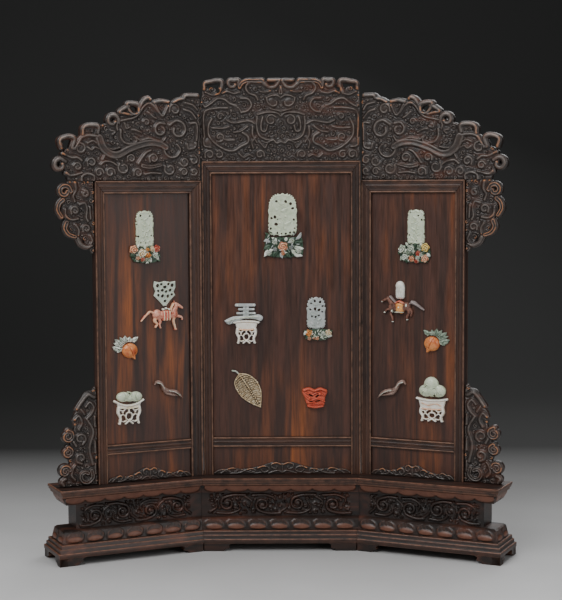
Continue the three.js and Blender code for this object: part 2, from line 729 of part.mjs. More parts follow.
const coralBasket = join([
  applied([[32.4, 176.4], [51.2, 176.4], [55, 199], [27, 199]], 4, [[35.4, 192.5], [46.6, 192.5],
    [37, 184.6], [45.2, 184.6]], 2.2),
  block(26.2, 55.8, on - 5, on, 197.4, 200.2),
  block(31.6, 52.2, on - 5, on, 175.8, 178.6),
]);

const centrePieces = {
  plaque: [plaque(-16.5, 19.9, 392.6, 446.4, 13, [[-6, 436.1], [5.6, 435.7], [14.2, 427.2],
    [-12.2, 415], [-6.5, 407.4], [15.7, 413.1]]), paleJade],
  plaque_flowers: [flowers([[-22.6, 366], [-8, 369], [2, 365.4], [12, 369], [28, 366], [28, 384],
    [24, 396], [21, 403], [20.3, 392.2],
    [-16.9, 392.2], [-17.4, 400], [-21, 390]],
    [[2, 379.7, 6.4], [-15.6, 371.6, 5.4], [22, 374.4, 5.6], [-8, 386, 5], [13, 387, 5]]), leafStone],
  stepped_jade: [steppedJade, paleJade],
  stand: [steppedStand, ivoryStone],
  small_plaque: [plaque(31, 55.4, 275.8, 316.2, 4, [[38, 311], [48, 311], [35, 303], [51, 303],
    [43, 297]]), paleJade],
  small_plaque_flowers: [flowers([[27, 264], [41, 260], [56, 261], [63.6, 269], [60, 275.4], [28, 275.4]],
    [[34.6, 270.2, 5.2], [58.4, 270.8, 5], [46, 266.4, 4.4]]), peachStone],
  leaf: [gildedLeaf, giltMetal],
  coral_basket: [coralBasket, coral],
};

// An ornament keeps its size and moves with its share of the panel's width

function spread(geometry, stretch) {
  geometry.computeBoundingBox();
  const middle = (geometry.boundingBox.min.x + geometry.boundingBox.max.x) / 2;
  return geometry.translate(middle * (stretch - 1), 0, 0);
}

// Panels

function panel(name, left, right, top, lap, stretch, crest, extras, ornaments, flip) {
  const size = frameSizes(left, right, top);
  const group = new THREE.Group();
  const inner = [size.innerLeft, size.innerRight];
  const pieces = {
    [`stile_inner_${name}`]: [stile(left - lap, size.innerLeft, top), frameWood],
    [`stile_outer_${name}`]: [stile(size.innerRight, right, top), frameWood],
    [`top_rail_${name}`]: [rail(...inner, top - topRailHeight, top), frameWood],
    [`middle_rail_${name}`]: [rail(...inner, middleRailBottom, middleRailTop), frameWood],
    [`board_${name}`]: [board(size, middleRailTop, top - topRailHeight), boardWood],
    [`lower_board_${name}`]: [board(size, baseTop, middleRailBottom), boardWood],
    [`apron_${name}`]: [apron(size), carvedWood],
    [`crest_${name}`]: [crest, carvedWood],
    ...extras,
  };
  for (const [piece, [geometry, look]] of Object.entries(ornaments)) {
    pieces[`${piece}_${name}`] = [spread(geometry, stretch), look];
  }
  for (const [piece, [geometry, look]] of Object.entries(pieces)) {
    const mesh = new THREE.Mesh(flip ? mirrored(geometry) : geometry, look);
    mesh.name = piece;
    group.add(mesh);
  }
  return group;
}

function sidePieces(name) {
  return { [`ear_${name}`]: [ear(), carvedWood], [`spandrel_${name}`]: [spandrel(), carvedWood] };
}

function baseSection(name, cornice, plinth, flip) {
  const group = new THREE.Group();
  for (const [piece, geometry] of [['cornice', cornice], ['plinth', plinth]]) {
    const mesh = new THREE.Mesh(flip ? mirrored(geometry) : geometry, baseWood);
    mesh.name = `base_${piece}_${name}`;
    group.add(mesh);
  }
  return group;
}

function wing(name, side, seat, lap, ornaments) {
  const group = new THREE.Group();
  const standing = panel(name, 0, wingWidth, wingTop, lap, wingStretch, wingCrest(lap), sidePieces(name),
    ornaments, side < 0);
  standing.position.y = -seat;
  group.add(standing, baseSection(name, wingCornice(), wingPlinth(), side < 0));
  group.position.x = side * hingeX;
  group.rotation.z = -side * wingAngle;
  return group;
}

const half = centreWidth / 2;
const centre = panel('center', -half, half, centreTop, 0, centreStretch, centreCrest(),
  {}, centrePieces, false);
centre.position.x = centreShift;

const screen = new THREE.Group();
screen.add(
  centre,
  baseSection('center', centreCornice(), centrePlinth(), false),
  wing('left', -1, leftSeat, leftLap, leftWingPieces),
  wing('right', 1, rightSeat, rightLap, rightWingPieces),
);

// The origin lies under the middle of the base's depth

const reachFront = (slabEnd + plinthOut) * Math.sin(wingAngle) + plinthFront * Math.cos(wingAngle);
screen.position.y = (reachFront + plinthBack) / 2;

export default screen;
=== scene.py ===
import math

import bpy
import numpy as np
from mathutils import Euler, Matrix
from mathutils.geometry import delaunay_2d_cdt


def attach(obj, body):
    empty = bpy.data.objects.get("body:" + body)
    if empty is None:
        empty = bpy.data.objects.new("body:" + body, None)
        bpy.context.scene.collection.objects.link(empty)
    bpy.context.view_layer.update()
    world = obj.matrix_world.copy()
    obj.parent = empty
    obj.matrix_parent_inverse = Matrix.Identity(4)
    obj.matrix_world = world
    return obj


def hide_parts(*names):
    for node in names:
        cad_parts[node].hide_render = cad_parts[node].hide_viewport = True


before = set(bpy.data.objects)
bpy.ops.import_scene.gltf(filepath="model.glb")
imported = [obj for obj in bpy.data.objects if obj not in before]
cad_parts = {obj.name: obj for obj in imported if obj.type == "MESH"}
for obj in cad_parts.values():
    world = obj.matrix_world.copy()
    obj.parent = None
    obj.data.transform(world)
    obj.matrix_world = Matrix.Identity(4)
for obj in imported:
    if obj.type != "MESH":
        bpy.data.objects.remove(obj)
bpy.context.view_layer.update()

# Sizes in millimetres, as in the frame: x across a panel or along a base section, y back, z up.
# On a wing x runs outwards from the bend, and the left wing is the mirror of the right.

PANELS = ("left", "center", "right")
TURN = math.radians(25)                             # how far a wing turns forward
BEND_X, BEND_Y = 102.0, 35.295                      # the line where a wing leaves the centre
SHIFT = 3.0                                         # how far the centre panel stands to the right
SEAT = {"left": 5.0, "center": 0.0, "right": -4.0}  # how far each panel stands forward of the line
SEAM = 0.3                                          # gap between pieces that meet
WING, HALF = 134.0, 99.0                            # a wing's width, and half the centre's
BASE_TOP, WING_TOP, CENTER_TOP = 91.0, 462.0, 486.0
STILE, TOP_RAIL = 12.0, 15.5                        # widths of uprights and top rails
MIDDLE_RAIL = (126.5, 138.8)                        # its lower and upper edge
FACE = 3.7                                          # depth of the boards' face
MITRE = math.tan(TURN / 2)
SLAB_FRONT, SLAB_DEPTH, SLAB_END = 25.0, 58.0, 188.0
WAIST = (41.5, 71.3)                                # lower and upper edge of the base's waist


def to_world(points, panel, seated=True):
    x, y, z = np.asarray(points, float).T
    if panel == "center":
        return np.stack([x + (SHIFT if seated else 0), y + BEND_Y, z], 1) / 1000
    side = 1 if panel == "right" else -1
    angle = -side * TURN
    x = side * x
    y = y - (SEAT[panel] if seated else 0)
    across = x * math.cos(angle) - y * math.sin(angle) + side * BEND_X
    back = x * math.sin(angle) + y * math.cos(angle) + BEND_Y
    return np.stack([across, back, z], 1) / 1000


# A shell is (points, faces, look of each face, edge wear and painted highlight of each point, which on stone
# also gives painted shade in hollows, and height of each point, which gives painted shade to low parts of the
# wood)

def emit(name, panel, shells, looks, nodes=(), seated=True, sharp=42):
    """Makes one piece of the shells, rides it on the body and puts it in the place of its nodes."""
    points, faces, face_looks, edge, rise = [], [], [], [], []
    count = 0
    for shell_points, shell_faces, shell_looks, shell_edge, shell_rise in shells:
        points.append(np.asarray(shell_points, float))
        faces += [tuple(int(i) + count for i in face) for face in shell_faces]
        face_looks += shell_looks
        edge.append(np.broadcast_to(shell_edge, len(shell_points)))
        rise.append(np.broadcast_to(shell_rise, len(shell_points)))
        count += len(shell_points)
    mesh = bpy.data.meshes.new(name)
    mesh.from_pydata(np.concatenate(points).tolist(), [], faces)
    mesh.polygons.foreach_set("material_index", np.array(face_looks, np.int32))
    for key, values in (("edge", edge), ("rise", rise)):
        layer = mesh.attributes.new(key, "FLOAT", "POINT")
        layer.data.foreach_set("value", np.concatenate(values).astype(np.float32))
    if panel == "left":
        mesh.flip_normals()
    local = np.zeros(len(mesh.vertices) * 3)
    mesh.vertices.foreach_get("co", local)
    mesh.vertices.foreach_set("co", to_world(local.reshape(-1, 3), panel, seated).ravel())
    mesh.shade_smooth()
    mesh.set_sharp_from_angle(angle=math.radians(sharp))
    for look in looks:
        mesh.materials.append(look)
    made = bpy.data.objects.new(name, mesh)
    bpy.context.scene.collection.objects.link(made)
    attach(made, "root")
    if nodes:
        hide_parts(*nodes)


def hoops(rings, around, first=0):
    """Four-sided faces between rings of points, each ring closed on itself."""
    return [[first + k * around + i, first + k * around + (i + 1) % around,
             first + (k + 1) * around + (i + 1) % around, first + (k + 1) * around + i]
            for k in range(rings - 1) for i in range(around)]


def tube(rings, around):
    """The faces of a solid made of rings of points, closed at both ends."""
    ends = [list(range(around))[::-1], [(rings - 1) * around + i for i in range(around)]]
    return hoops(rings, around) + ends


# Relief: shapes drawn in x and z over a flat back. A shape is (lower corner, upper corner, field,
# crown, look). Its field gives the signed distance to the outline and a height from 0 at the outline
# to 1, its crown is that height in mm, and its look is a number in the piece's list of materials.

def smooth(points, per=6):
    """A Catmull-Rom curve through the points, with so many steps between two of them."""
    p = np.array(points, float)
    if len(p) < 3:
        return np.linspace(p[0], p[-1], per + 1)
    ends = np.vstack([2 * p[0] - p[1], p, 2 * p[-1] - p[-2]])
    t = np.linspace(0, 1, per, endpoint=False)[:, None]
    parts = []
    for a, b, c, d in zip(ends, ends[1:], ends[2:], ends[3:]):
        parts.append(0.5 * (2 * b + (c - a) * t + (2 * a - 5 * b + 4 * c - d) * t**2
                            + (3 * b - a - 3 * c + d) * t**3))
    return np.vstack(parts + [p[-1:]])


def band_profile(r):
    """Round shoulders with a groove along the middle."""
    shoulder = np.clip((1 - r) / 0.4, 0, 1)
    return np.sqrt(1 - (1 - shoulder)**2) - 0.3 * np.exp(-(r / 0.3)**2)


PROFILES = {
    "round": lambda r: np.sqrt(1 - r**2),
    "flat": lambda r: np.sqrt(1 - np.clip((r - 0.6) / 0.4, 0, 1)**2),
    "band": band_profile,
}


def line(points, start, end, crown=1.0, kind="round", look=0, per=6, leafy=False):
    """A ridge along a curve, its half width going from start to end; a leafy one swells between."""
    c = smooth(points, per)
    count = len(c) - 1

    def field(x, z):
        best = np.full(x.shape, 1e6)
        share = np.zeros(x.shape)
        for i in range(count):
            dx, dz = c[i + 1] - c[i]
            t = np.clip(((x - c[i, 0]) * dx + (z - c[i, 1]) * dz) / (dx * dx + dz * dz + 1e-9), 0, 1)
            d = np.hypot(x - c[i, 0] - t * dx, z - c[i, 1] - t * dz)
            share = np.where(d < best, (i + t) / count, share)
            best = np.minimum(best, d)
        half = start + (end - start) * share
        if leafy:
            half = start * np.sin(np.pi * np.clip(share, 0.03, 0.97))**0.7
        return best - half, PROFILES[kind](np.clip(best / half, 0, 1))

    reach = max(start, end) + 4.5
    return c.min(0) - reach, c.max(0) + reach, field, crown, look


def area(points, crown=0.0, edge=1.5, look=0, rounded=False):
    """The inside of an outline, with an edge that rounds over that far."""
    p = smooth(list(points) + [points[0]], 5)[:-1] if rounded else np.array(points, float)
    q = np.roll(p, -1, 0)

    def field(x, z):
        best = np.full(x.shape, 1e6)
        inside = np.zeros(x.shape, bool)
        for (ax, az), (bx, bz) in zip(p, q):
            dx, dz = bx - ax, bz - az
            t = np.clip(((x - ax) * dx + (z - az) * dz) / (dx * dx + dz * dz + 1e-9), 0, 1)
            best = np.minimum(best, np.hypot(x - ax - t * dx, z - az - t * dz))
            if az != bz:
                inside ^= ((az > z) != (bz > z)) & (x < ax + dx * (z - az) / dz)
        distance = np.where(inside, -best, best)
        return distance, np.sqrt(1 - (1 - np.clip(-distance / edge, 0, 1))**2)

    return p.min(0) - 1.5, p.max(0) + 1.5, field, crown, look


def oval(x0, z0, a, b=None, crown=1.0, angle=0.0, look=0):
    """A dome on an ellipse with half axes a and b, turned by an angle in degrees."""
    b = a if b is None else b
    c, s = math.cos(math.radians(angle)), math.sin(math.radians(angle))

    def field(x, z):
        u = ((x - x0) * c + (z - z0) * s) / a
        v = ((z - z0) * c - (x - x0) * s) / b
        k = np.hypot(u, v)
        return (k - 1) * min(a, b), np.sqrt(np.clip(1 - k**2, 0, 1))

    reach = np.array([max(a, b) + 1.5] * 2)
    return np.array([x0, z0]) - reach, np.array([x0, z0]) + reach, field, crown, look


def blurred(values, rounds):
    """The grid of values, spread to its neighbours so many times."""
    for _ in range(rounds):
        edges = np.pad(values, 1, mode="edge")
        values = (values * 2 + edges[:-2, 1:-1] + edges[2:, 1:-1] + edges[1:-1, :-2] + edges[1:-1, 2:]) / 6
    return values


def raised(x, z, shapes, sunk=()):
    """Signed distance, height and look of the shapes' union at grid points x, z."""
    distance = np.full(x.shape, 1e3)
    height = np.zeros(x.shape)
    look = np.zeros(x.shape, int)
    xs, zs = x[0], z[:, 0]
    for lo, hi, field, crown, own in shapes:
        i0, i1 = np.searchsorted(xs, [lo[0], hi[0]])
        j0, j1 = np.searchsorted(zs, [lo[1], hi[1]])
        if i1 <= i0 or j1 <= j0:
            continue
        w = (slice(j0, j1), slice(i0, i1))
        d, f = field(x[w], z[w])
        lift = np.where(d < 0, crown * f, 0)
        look[w] = np.where((d < 0) & (lift >= height[w]), own, look[w])
        height[w] = np.maximum(height[w], lift)
        distance[w] = np.minimum(distance[w], d)
    for lo, hi, field, crown, own in sunk:
        d, f = field(x, z)
        height = height - np.where(d < 0, crown * f, 0)
    return distance, height, look


def wear_and_highlight(height, distance, z, low, tall):
    """Edge wear and painted highlight from -1 in hollows to 1 on crests, and up to 1.2 more for worn tips
    near the outline; on stone the hollows get painted shade from it.
    """
    crisp = np.clip((height - blurred(height, 9)) / 0.7, -1, 1)
    tip = np.clip(1.3 - np.abs(distance) / 2.6, 0, 1) * np.clip(2 * height / tall, 0, 1)
    if low is not None:
        tip = tip * np.clip((z - low - 4) / 4, 0, 1)
    return np.where(crisp > -0.1, crisp + 1.2 * tip, crisp)


def flat_back(outline, rim, back, first, inside):
    """Points and triangles that close the outline at depth back, numbered from first.

    A triangle on the rim is kept where it lies on the rim's inner side, and any other one where
    inside(x, z) holds at its middle.
    """
    corners, _, triangles, owners, _, _ = delaunay_2d_cdt(outline.tolist(), rim.tolist(), [], 2, 1e-5)
    points = [[x, back, z] for x, z in outline]
    number = []
    for corner, own in zip(corners, owners):
        if own:
            number.append(first + own[0])
        else:
            number.append(first + len(points))
            points.append([corner[0], back, corner[1]])
    sides = {}
    for a, b in (rim + first).tolist():
        sides[a, b] = True
        sides[b, a] = False
    faces = []
    for triangle in triangles:
        own = [number[k] for k in triangle]
        known = [sides[pair] for pair in zip(own, own[1:] + own[:1]) if pair in sides]
        x, z = np.mean([corners[k] for k in triangle], 0)
        if known[0] if known else inside(x, z):
            faces.append(own[::-1])
    return points, faces


def relief(shapes, ground, back, step=0.65, cuts=(), sunk=(), low=None, tall=4.0, echo=0.0):
    """A closed shell: the shapes' union as a carved front, with walls down to a flat back."""
    lo = np.min([shape[0] for shape in shapes], 0)
    hi = np.max([shape[1] for shape in shapes], 0)
    x, z = np.meshgrid(np.arange(lo[0], hi[0] + step, step), np.arange(lo[1], hi[1] + step, step))
    distance, height, look = raised(x, z, shapes, sunk)
    for cut in cuts:
        distance = np.maximum(distance, -cut[2](x, z)[0])
    if low is not None:
        distance = np.maximum(distance, low - z)
    if echo:
        # a fainter ridge follows every carved stroke
        near = np.clip(raised(x, z, shapes[1:])[0], 0, 9)
        ripple = (0.5 - 0.5 * np.cos(2.7 * near)) * np.exp(-(near / 2.4)**2)
        height = height + echo * ripple * np.clip(-distance / 1.5, 0, 1)
    # edge: wear and painted highlight on crests, and worn tips at the outline; on stone the hollows get
    # painted shade from it
    edge = wear_and_highlight(height, distance, z, low, tall)

    # grid points just outside the outline move onto it
    gz, gx = np.gradient(distance, step)
    norm = np.maximum(gx * gx + gz * gz, 0.3)
    out = np.clip(distance, 0, 1.3 * step)
    px, pz = x - gx * out / norm, z - gz * out / norm

    # the carved front
    inside = distance < 0
    cell = inside[:-1, :-1] | inside[1:, :-1] | inside[:-1, 1:] | inside[1:, 1:]
    used = np.zeros(inside.shape, bool)
    for rows in (slice(None, -1), slice(1, None)):
        for columns in (slice(None, -1), slice(1, None)):
            used[rows, columns] |= cell
    number = np.cumsum(used).reshape(used.shape) - 1
    points = np.stack([px[used], ground - height[used], pz[used]], 1)
    j, i = np.nonzero(cell)
    faces = np.stack([number[j, i], number[j, i + 1], number[j + 1, i + 1], number[j + 1, i]], 1)

    # the rim is made of the sides that only one face has
    ways = np.stack([faces, np.roll(faces, -1, 1)], 2).reshape(-1, 2)
    count = len(points)
    rim = ways[~np.isin(ways[:, 1] * count + ways[:, 0], ways[:, 0] * count + ways[:, 1])]
    outer = np.unique(rim)
    behind = np.zeros(count, int)
    behind[outer] = np.arange(len(outer))
    walls = np.stack([rim[:, 1], rim[:, 0], count + behind[rim[:, 0]], count + behind[rim[:, 1]]], 1)
    rear, closing = flat_back(points[outer][:, [0, 2]], behind[rim], back, count,
                              lambda a, b: cell[int((b - lo[1]) / step), int((a - lo[0]) / step)])

    faces = faces.tolist() + walls.tolist() + closing
    face_looks = look[j, i].tolist() + look[used][rim[:, 0]].tolist() + [0] * len(closing)
    edge = np.concatenate([edge[used], np.zeros(len(rear))])
    # rise: the share of the full height, which gives painted shade to low ground in the wood; the flat back
    # gets 0.15
    rise = np.concatenate([np.clip(height[used] / tall, 0, 1), np.full(len(rear), 0.15)])
    return np.vstack([points, rear]), faces, face_looks, edge, rise


# Straight mouldings: a profile of (across, depth, wear and painted highlight) carried from one end to the
# other

def frame_profile(width, front, back):
    """A bead at each edge, then a hollow, and a narrow ridge on either side of the middle."""
    bead = [(1.0 - math.cos(a), front + 1.0 - 0.95 * math.sin(a), 0.9) for a in np.linspace(0.3, 2.5, 6)]
    half = [(0, front + 1.0, 0.2), *bead]
    half += [(2.1, front + 1.05, -0.6), (2.6, front + 1.0, -0.5), (3.0, front + 0.55, 0.3)]
    half += [(width * 0.33, front + 0.85, 0), (width * 0.42, front + 0.6, 0.2)]
    half += [(width * 0.45, front + 0.25, 0.7), (width * 0.48, front + 0.75, -0.5)]
    other = [(width - across, depth, wear_and_highlight_amount) for across, depth, wear_and_highlight_amount in reversed(half)]
    return half + other + [(width, back, 0), (0, back, 0)]


def bar(profile, start, end, place, pieces=24):
    """place(across, depth, along) gives the point; the bar is closed at both ends."""
    stops = np.linspace(start, end, pieces + 1)
    points = [place(across, depth, along) for along in stops for across, depth, _ in profile]
    faces = tube(pieces + 1, len(profile))
    return points, faces, [0] * len(faces), [wear_and_highlight_amount for _ in stops for _, _, wear_and_highlight_amount in profile], 1.0


# Base sections: rings of points round the section, one above the other

def section_rings(kind, levels, columns, shift):
    """levels are (z, out, end out, wear and painted highlight); shift(x, z, side) gives the carving's height.
    """
    points, edge, rise = [], [], []
    ends = columns // 3
    for z, out, end_out, wear_and_highlight_amount in levels:
        front = SLAB_FRONT + out
        back = SLAB_FRONT - SLAB_DEPTH - out
        if kind == "center":
            half = BEND_X - front * MITRE - SEAM / 2
            rear = BEND_X - back * MITRE - SEAM / 2
            x = np.linspace(-half, half, columns + 1)
            lift = shift(x, np.full(x.shape, z), "front")
            ring = [(a, -front - h, z) for a, h in zip(x, lift)]
            ring += [(a, -back, z) for a in np.linspace(rear, -rear, 4)]
            lifts = list(lift) + [0] * 4
        else:
            end = SLAB_END + end_out
            x = np.linspace(front * MITRE + SEAM / 2, end, columns + 1)
            lift = shift(x, np.full(x.shape, z), "front")
            lift[-1] = 0
            y = np.linspace(-front, -back, ends + 1)
            side = shift(y, np.full(y.shape, z), "end")
            side[0] = side[-1] = 0
            ring = [(a, -front - h, z) for a, h in zip(x, lift)]
            ring += [(end + h, b, z) for b, h in zip(y[1:], side[1:])]
            ring += [(a, -back, z) for a in np.linspace(end, back * MITRE + SEAM / 2, 4)[1:]]
            lifts = list(lift) + list(side[1:]) + [0] * 3
        points += ring
        lifts = np.array(lifts)
        # rise gives painted shade in the wood where low; the waist, set back under the slab, is made lower
        # still for more painted shade, and gets less wear and painted highlight
        waist_shade_factor = 0.4 if WAIST[0] < z < WAIST[1] else 1.0
        rise += list(np.clip(0.35 + lifts / 2.2, 0, 1) * waist_shade_factor)
        edge += list(np.clip(wear_and_highlight_amount + lifts * 0.3 * waist_shade_factor**2, -1, 1))
    faces = tube(len(levels), len(ring))
    return points, faces, [0] * len(faces), edge, rise


# Materials

class Look:
    """A material and its node tree, with a short call for each kind of node."""

    def __init__(self, name):
        self.material = bpy.data.materials.new(name)
        self.material.use_nodes = True
        self.tree = self.material.node_tree
        self.shader = self.tree.nodes["Principled BSDF"]

    def add(self, kind, settings=None, **sockets):
        node = self.tree.nodes.new("ShaderNode" + kind)
        for key, value in (settings or {}).items():
            setattr(node, key, value)
        for key, value in sockets.items():
            self.feed(node.inputs[key.replace("_", " ")], value)
        return node

    def feed(self, socket, value):
        if isinstance(value, bpy.types.NodeSocket):
            self.tree.links.new(value, socket)
        else:
            socket.default_value = value

    def where(self, turn=0.0, scale=(1, 1, 1)):
        """A place in object space, turned with its panel and stretched along the grain."""
        space = self.add("TexCoord").outputs["Object"]
        mapped = self.add("Mapping", Vector=space, Rotation=(0, 0, turn), Scale=scale)
        return mapped.outputs["Vector"]

    def noise(self, vector, scale, detail=3.0, rough=0.55, distort=0.0):
        node = self.add("TexNoise", Vector=vector, Scale=scale, Detail=detail, Roughness=rough)
        node.inputs["Distortion"].default_value = distort
        return node.outputs["Fac"]

    def ramp(self, value, stops):
        node = self.add("ValToRGB", Fac=value)
        points = node.color_ramp.elements
        while len(points) < len(stops):
            points.new(0.5)
        for point, (at, colour) in zip(points, stops):
            point.position = at
            point.color = (*colour, 1) if isinstance(colour, tuple) else (colour, colour, colour, 1)
        return node.outputs["Color"]

    def mix(self, fac, a, b, blend="MIX"):
        node = self.add("Mix", {"data_type": "RGBA", "blend_type": blend})
        for index, value in ((0, fac), (6, a), (7, b)):
            if isinstance(value, tuple):
                value = (*value, 1)
            self.feed(node.inputs[index], value)
        return node.outputs[2]

    def span(self, value, low, high, to_low=0.0, to_high=1.0):
        """The value carried from low..high to to_low..to_high, and held at both ends."""
        node = self.add("MapRange", Value=value, From_Min=low, From_Max=high, To_Min=to_low, To_Max=to_high)
        return node.outputs["Result"]

    def times(self, a, b):
        node = self.add("Math", {"operation": "MULTIPLY"})
        self.feed(node.inputs[0], a)
        self.feed(node.inputs[1], b)
        return node.outputs[0]

    def attribute(self, name):
        return self.add("Attribute", {"attribute_name": name}).outputs["Fac"]

    def finish(self, colour, rough, bump, strength, distance, **constants):
        self.feed(self.shader.inputs["Base Color"], colour)
        self.feed(self.shader.inputs["Roughness"], rough)
        node = self.add("Bump", Height=bump, Strength=strength, Distance=distance)
        self.feed(self.shader.inputs["Normal"], node.outputs["Normal"])
        for key, value in constants.items():
            self.shader.inputs[key.replace("_", " ")].default_value = value
        return self.material


TURNS = {"left": -TURN, "center": 0.0, "right": TURN}


def wood(name, turn, grain, tones, wear_and_highlight=None, tips=None, streaks=(0.45, 0.75), gloss=0.42, top_wear_and_highlight=0.0,
         run=0.07, fine=1300):
    """Dark hardwood in three tones. grain "up" runs along z and "along" runs along the panel.

    Carved pieces also give the colour of their crests, which is wear and painted highlight, and of worn tips
    near their outline. Wherever a crest colour is given, low ground gets painted shade, and the highest
    relief a warm tint that is wear and painted highlight.
    """
    dark, mid, warm = tones
    look = Look(name)
    fibres = look.noise(look.where(turn, (1, 1, 0.07) if grain == "up" else (0.07, 1, 1)), fine, 4, 0.65)
    broad = look.noise(look.where(turn, (1, 1, run) if grain == "up" else (run, 1, 1)), 75, 3, 0.6, 0.6)
    patches = look.noise(look.where(turn, (1, 1, 0.35)), 14, 3, 0.55)
    colour = look.mix(look.span(broad, 0.35, 0.68), dark, mid)
    streaked = look.ramp(broad, [(streaks[0], 0.0), (streaks[1], 1.0)])
    glow = look.mix(look.span(patches, 0.42, 0.62), (0, 0, 0), streaked)
    colour = look.mix(glow, colour, warm)
    colour = look.mix(0.75, colour, look.ramp(fibres, [(0.3, 0.35), (0.62, 1.0)]), "MULTIPLY")
    if wear_and_highlight:
        rise, edge = look.attribute("rise"), look.attribute("edge")
        # painted shade: low ground and recesses are multiplied darker, by rise
        shaded = look.mix(1.0, colour, (0.42, 0.40, 0.42), "MULTIPLY")
        colour = look.mix(look.span(rise, 0.0, 0.55), shaded, colour)
        # the highest relief gets a warm tint, partly wear and partly painted highlight
        colour = look.mix(look.span(rise, 0.72, 0.98, 0.0, top_wear_and_highlight), colour, warm)
        # crests get the crest colour, wear and painted highlight, in patches; tips near the outline get the
        # worn-tip colour
        wear_and_highlight_patches = look.noise(look.where(), 120, 3, 0.6)
        wear_and_highlight_mask = look.times(look.span(edge, 0.15, 0.95), look.span(wear_and_highlight_patches, 0.25, 0.60))
        colour = look.mix(wear_and_highlight_mask, colour, wear_and_highlight)
        wear_and_highlight_mask = look.times(look.span(edge, 0.98, 1.45), look.span(wear_and_highlight_patches, 0.35, 0.5))
        colour = look.mix(wear_and_highlight_mask, colour, tips or wear_and_highlight)
    rough = look.span(fibres, 0.3, 0.7, gloss - 0.06, gloss + 0.16)
    return look.finish(colour, rough, fibres, 0.35, 0.0002, Specular_IOR_Level=0.5)


def stone(name, base, vein, dark_vein_and_shade, gloss=0.28, glow=0.25, scale=160):
    """Polished stone: clouded colour, veins, painted shade in its recesses, painted highlight on its crests,
    and fine pits.
    """
    look = Look(name)
    space = look.where()
    cloud = look.noise(space, scale, 4, 0.6, 0.4)
    veins = look.noise(space, scale * 2.3, 3, 0.7, 1.2)
    colour = look.mix(look.span(cloud, 0.35, 0.65), base, vein)
    colour = look.mix(look.span(veins, 0.58, 0.72, 0.0, 0.55), colour, dark_vein_and_shade)
    edge = look.attribute("edge")
    # painted shade: hollows darken towards the dark vein colour
    colour = look.mix(look.span(edge, -0.75, 0.0, 0.9, 0.0), colour, dark_vein_and_shade)
    # painted highlight: crests lighten towards the cloud colour
    colour = look.mix(look.span(edge, 0.1, 0.9, 0.0, 0.35), colour, vein)
    rough = look.span(cloud, 0.3, 0.7, gloss - 0.05, gloss + 0.12)
    made = look.finish(colour, rough, veins, 0.25, 0.00015, Subsurface_Weight=glow, Subsurface_Scale=0.002)
    look.shader.inputs["Subsurface Radius"].default_value = (1.0, 0.9, 0.7)
    return made


def metal(name, bright, dull, rough):
    """Tarnished metal, nearly black in its recesses."""
    look = Look(name)
    space = look.where()
    tarnish = look.noise(space, 260, 4, 0.65, 0.5)
    fine = look.noise(space, 1500, 2, 0.5)
    colour = look.mix(look.span(tarnish, 0.4, 0.66), bright, dull)
    colour = look.mix(look.span(look.attribute("edge"), -0.35, 0.1, 0.95, 0.0), colour, (0.02, 0.013, 0.008))
    gloss = look.span(tarnish, 0.3, 0.7, rough - 0.08, rough + 0.18)
    return look.finish(colour, gloss, fine, 0.3, 0.0001, Metallic=0.6)


# the dark, middle and warm tone of each wood, and then the woods of each panel
FRAME_TONES = (0.022, 0.011, 0.0085), (0.066, 0.029, 0.019), (0.15, 0.052, 0.022)
BOARD_TONES = (0.044, 0.019, 0.013), (0.094, 0.034, 0.021), (0.30, 0.085, 0.020)
CARVED_TONES = (0.038, 0.028, 0.024), (0.075, 0.053, 0.043), (0.19, 0.060, 0.030)
BASE_TONES = (0.016, 0.010, 0.008), (0.052, 0.026, 0.018), (0.15, 0.048, 0.026)
FRAME, RAIL, BOARD, CARVED, BASE = {}, {}, {}, {}, {}
for panel, turn in TURNS.items():
    # after the tones comes the crest colour, wear and painted highlight on beads, ridges and step edges; the
    # carved wood's grey one is mainly painted highlight, and after it comes the colour of its worn tips; the
    # base wood also gets a warm tint on its highest relief, wear and painted highlight
    FRAME[panel] = wood("frame_wood_" + panel, turn, "up", FRAME_TONES, (0.17, 0.088, 0.055))
    RAIL[panel] = wood("rail_wood_" + panel, turn, "along", FRAME_TONES, (0.20, 0.10, 0.06))
    BOARD[panel] = wood("board_wood_" + panel, turn, "up", BOARD_TONES, streaks=(0.40, 0.68), gloss=0.40,
                        run=0.06, fine=420)
    CARVED[panel] = wood("carved_wood_" + panel, turn, "along", CARVED_TONES, (0.15, 0.128, 0.115),
                         (0.40, 0.165, 0.07), (0.46, 0.7), 0.34)
    BASE[panel] = wood("base_wood_" + panel, turn, "along", BASE_TONES, (0.22, 0.095, 0.055),
                       streaks=(0.46, 0.70), gloss=0.36, top_wear_and_highlight=0.6)

# stones: the main colour, the clouds and the painted highlight on crests, and the veins and the painted shade
# in recesses
JADE = stone("pale_jade", (0.54, 0.62, 0.45), (0.68, 0.74, 0.58), (0.26, 0.31, 0.20))
CELADON = stone("celadon_jade", (0.44, 0.52, 0.43), (0.62, 0.68, 0.58), (0.16, 0.20, 0.15))
GREY_JADE = stone("grey_jade", (0.36, 0.41, 0.38), (0.52, 0.54, 0.54), (0.16, 0.18, 0.16))
WHITE_JADE = stone("white_jade", (0.72, 0.73, 0.64), (0.85, 0.84, 0.78), (0.45, 0.45, 0.36))
IVORY = stone("ivory_stone", (0.80, 0.74, 0.62), (0.90, 0.87, 0.80), (0.52, 0.36, 0.24), 0.4)
LEAF = stone("leaf_green", (0.020, 0.050, 0.028), (0.07, 0.12, 0.075), (0.010, 0.018, 0.012), 0.3, 0.1)
PALE_LEAF = stone("pale_leaf", (0.26, 0.34, 0.24), (0.66, 0.70, 0.60), (0.05, 0.10, 0.055), 0.3, 0.15)
PEACH = stone("peach_stone", (0.44, 0.05, 0.016), (0.80, 0.33, 0.11), (0.30, 0.035, 0.012), 0.22, 0.2, 62)
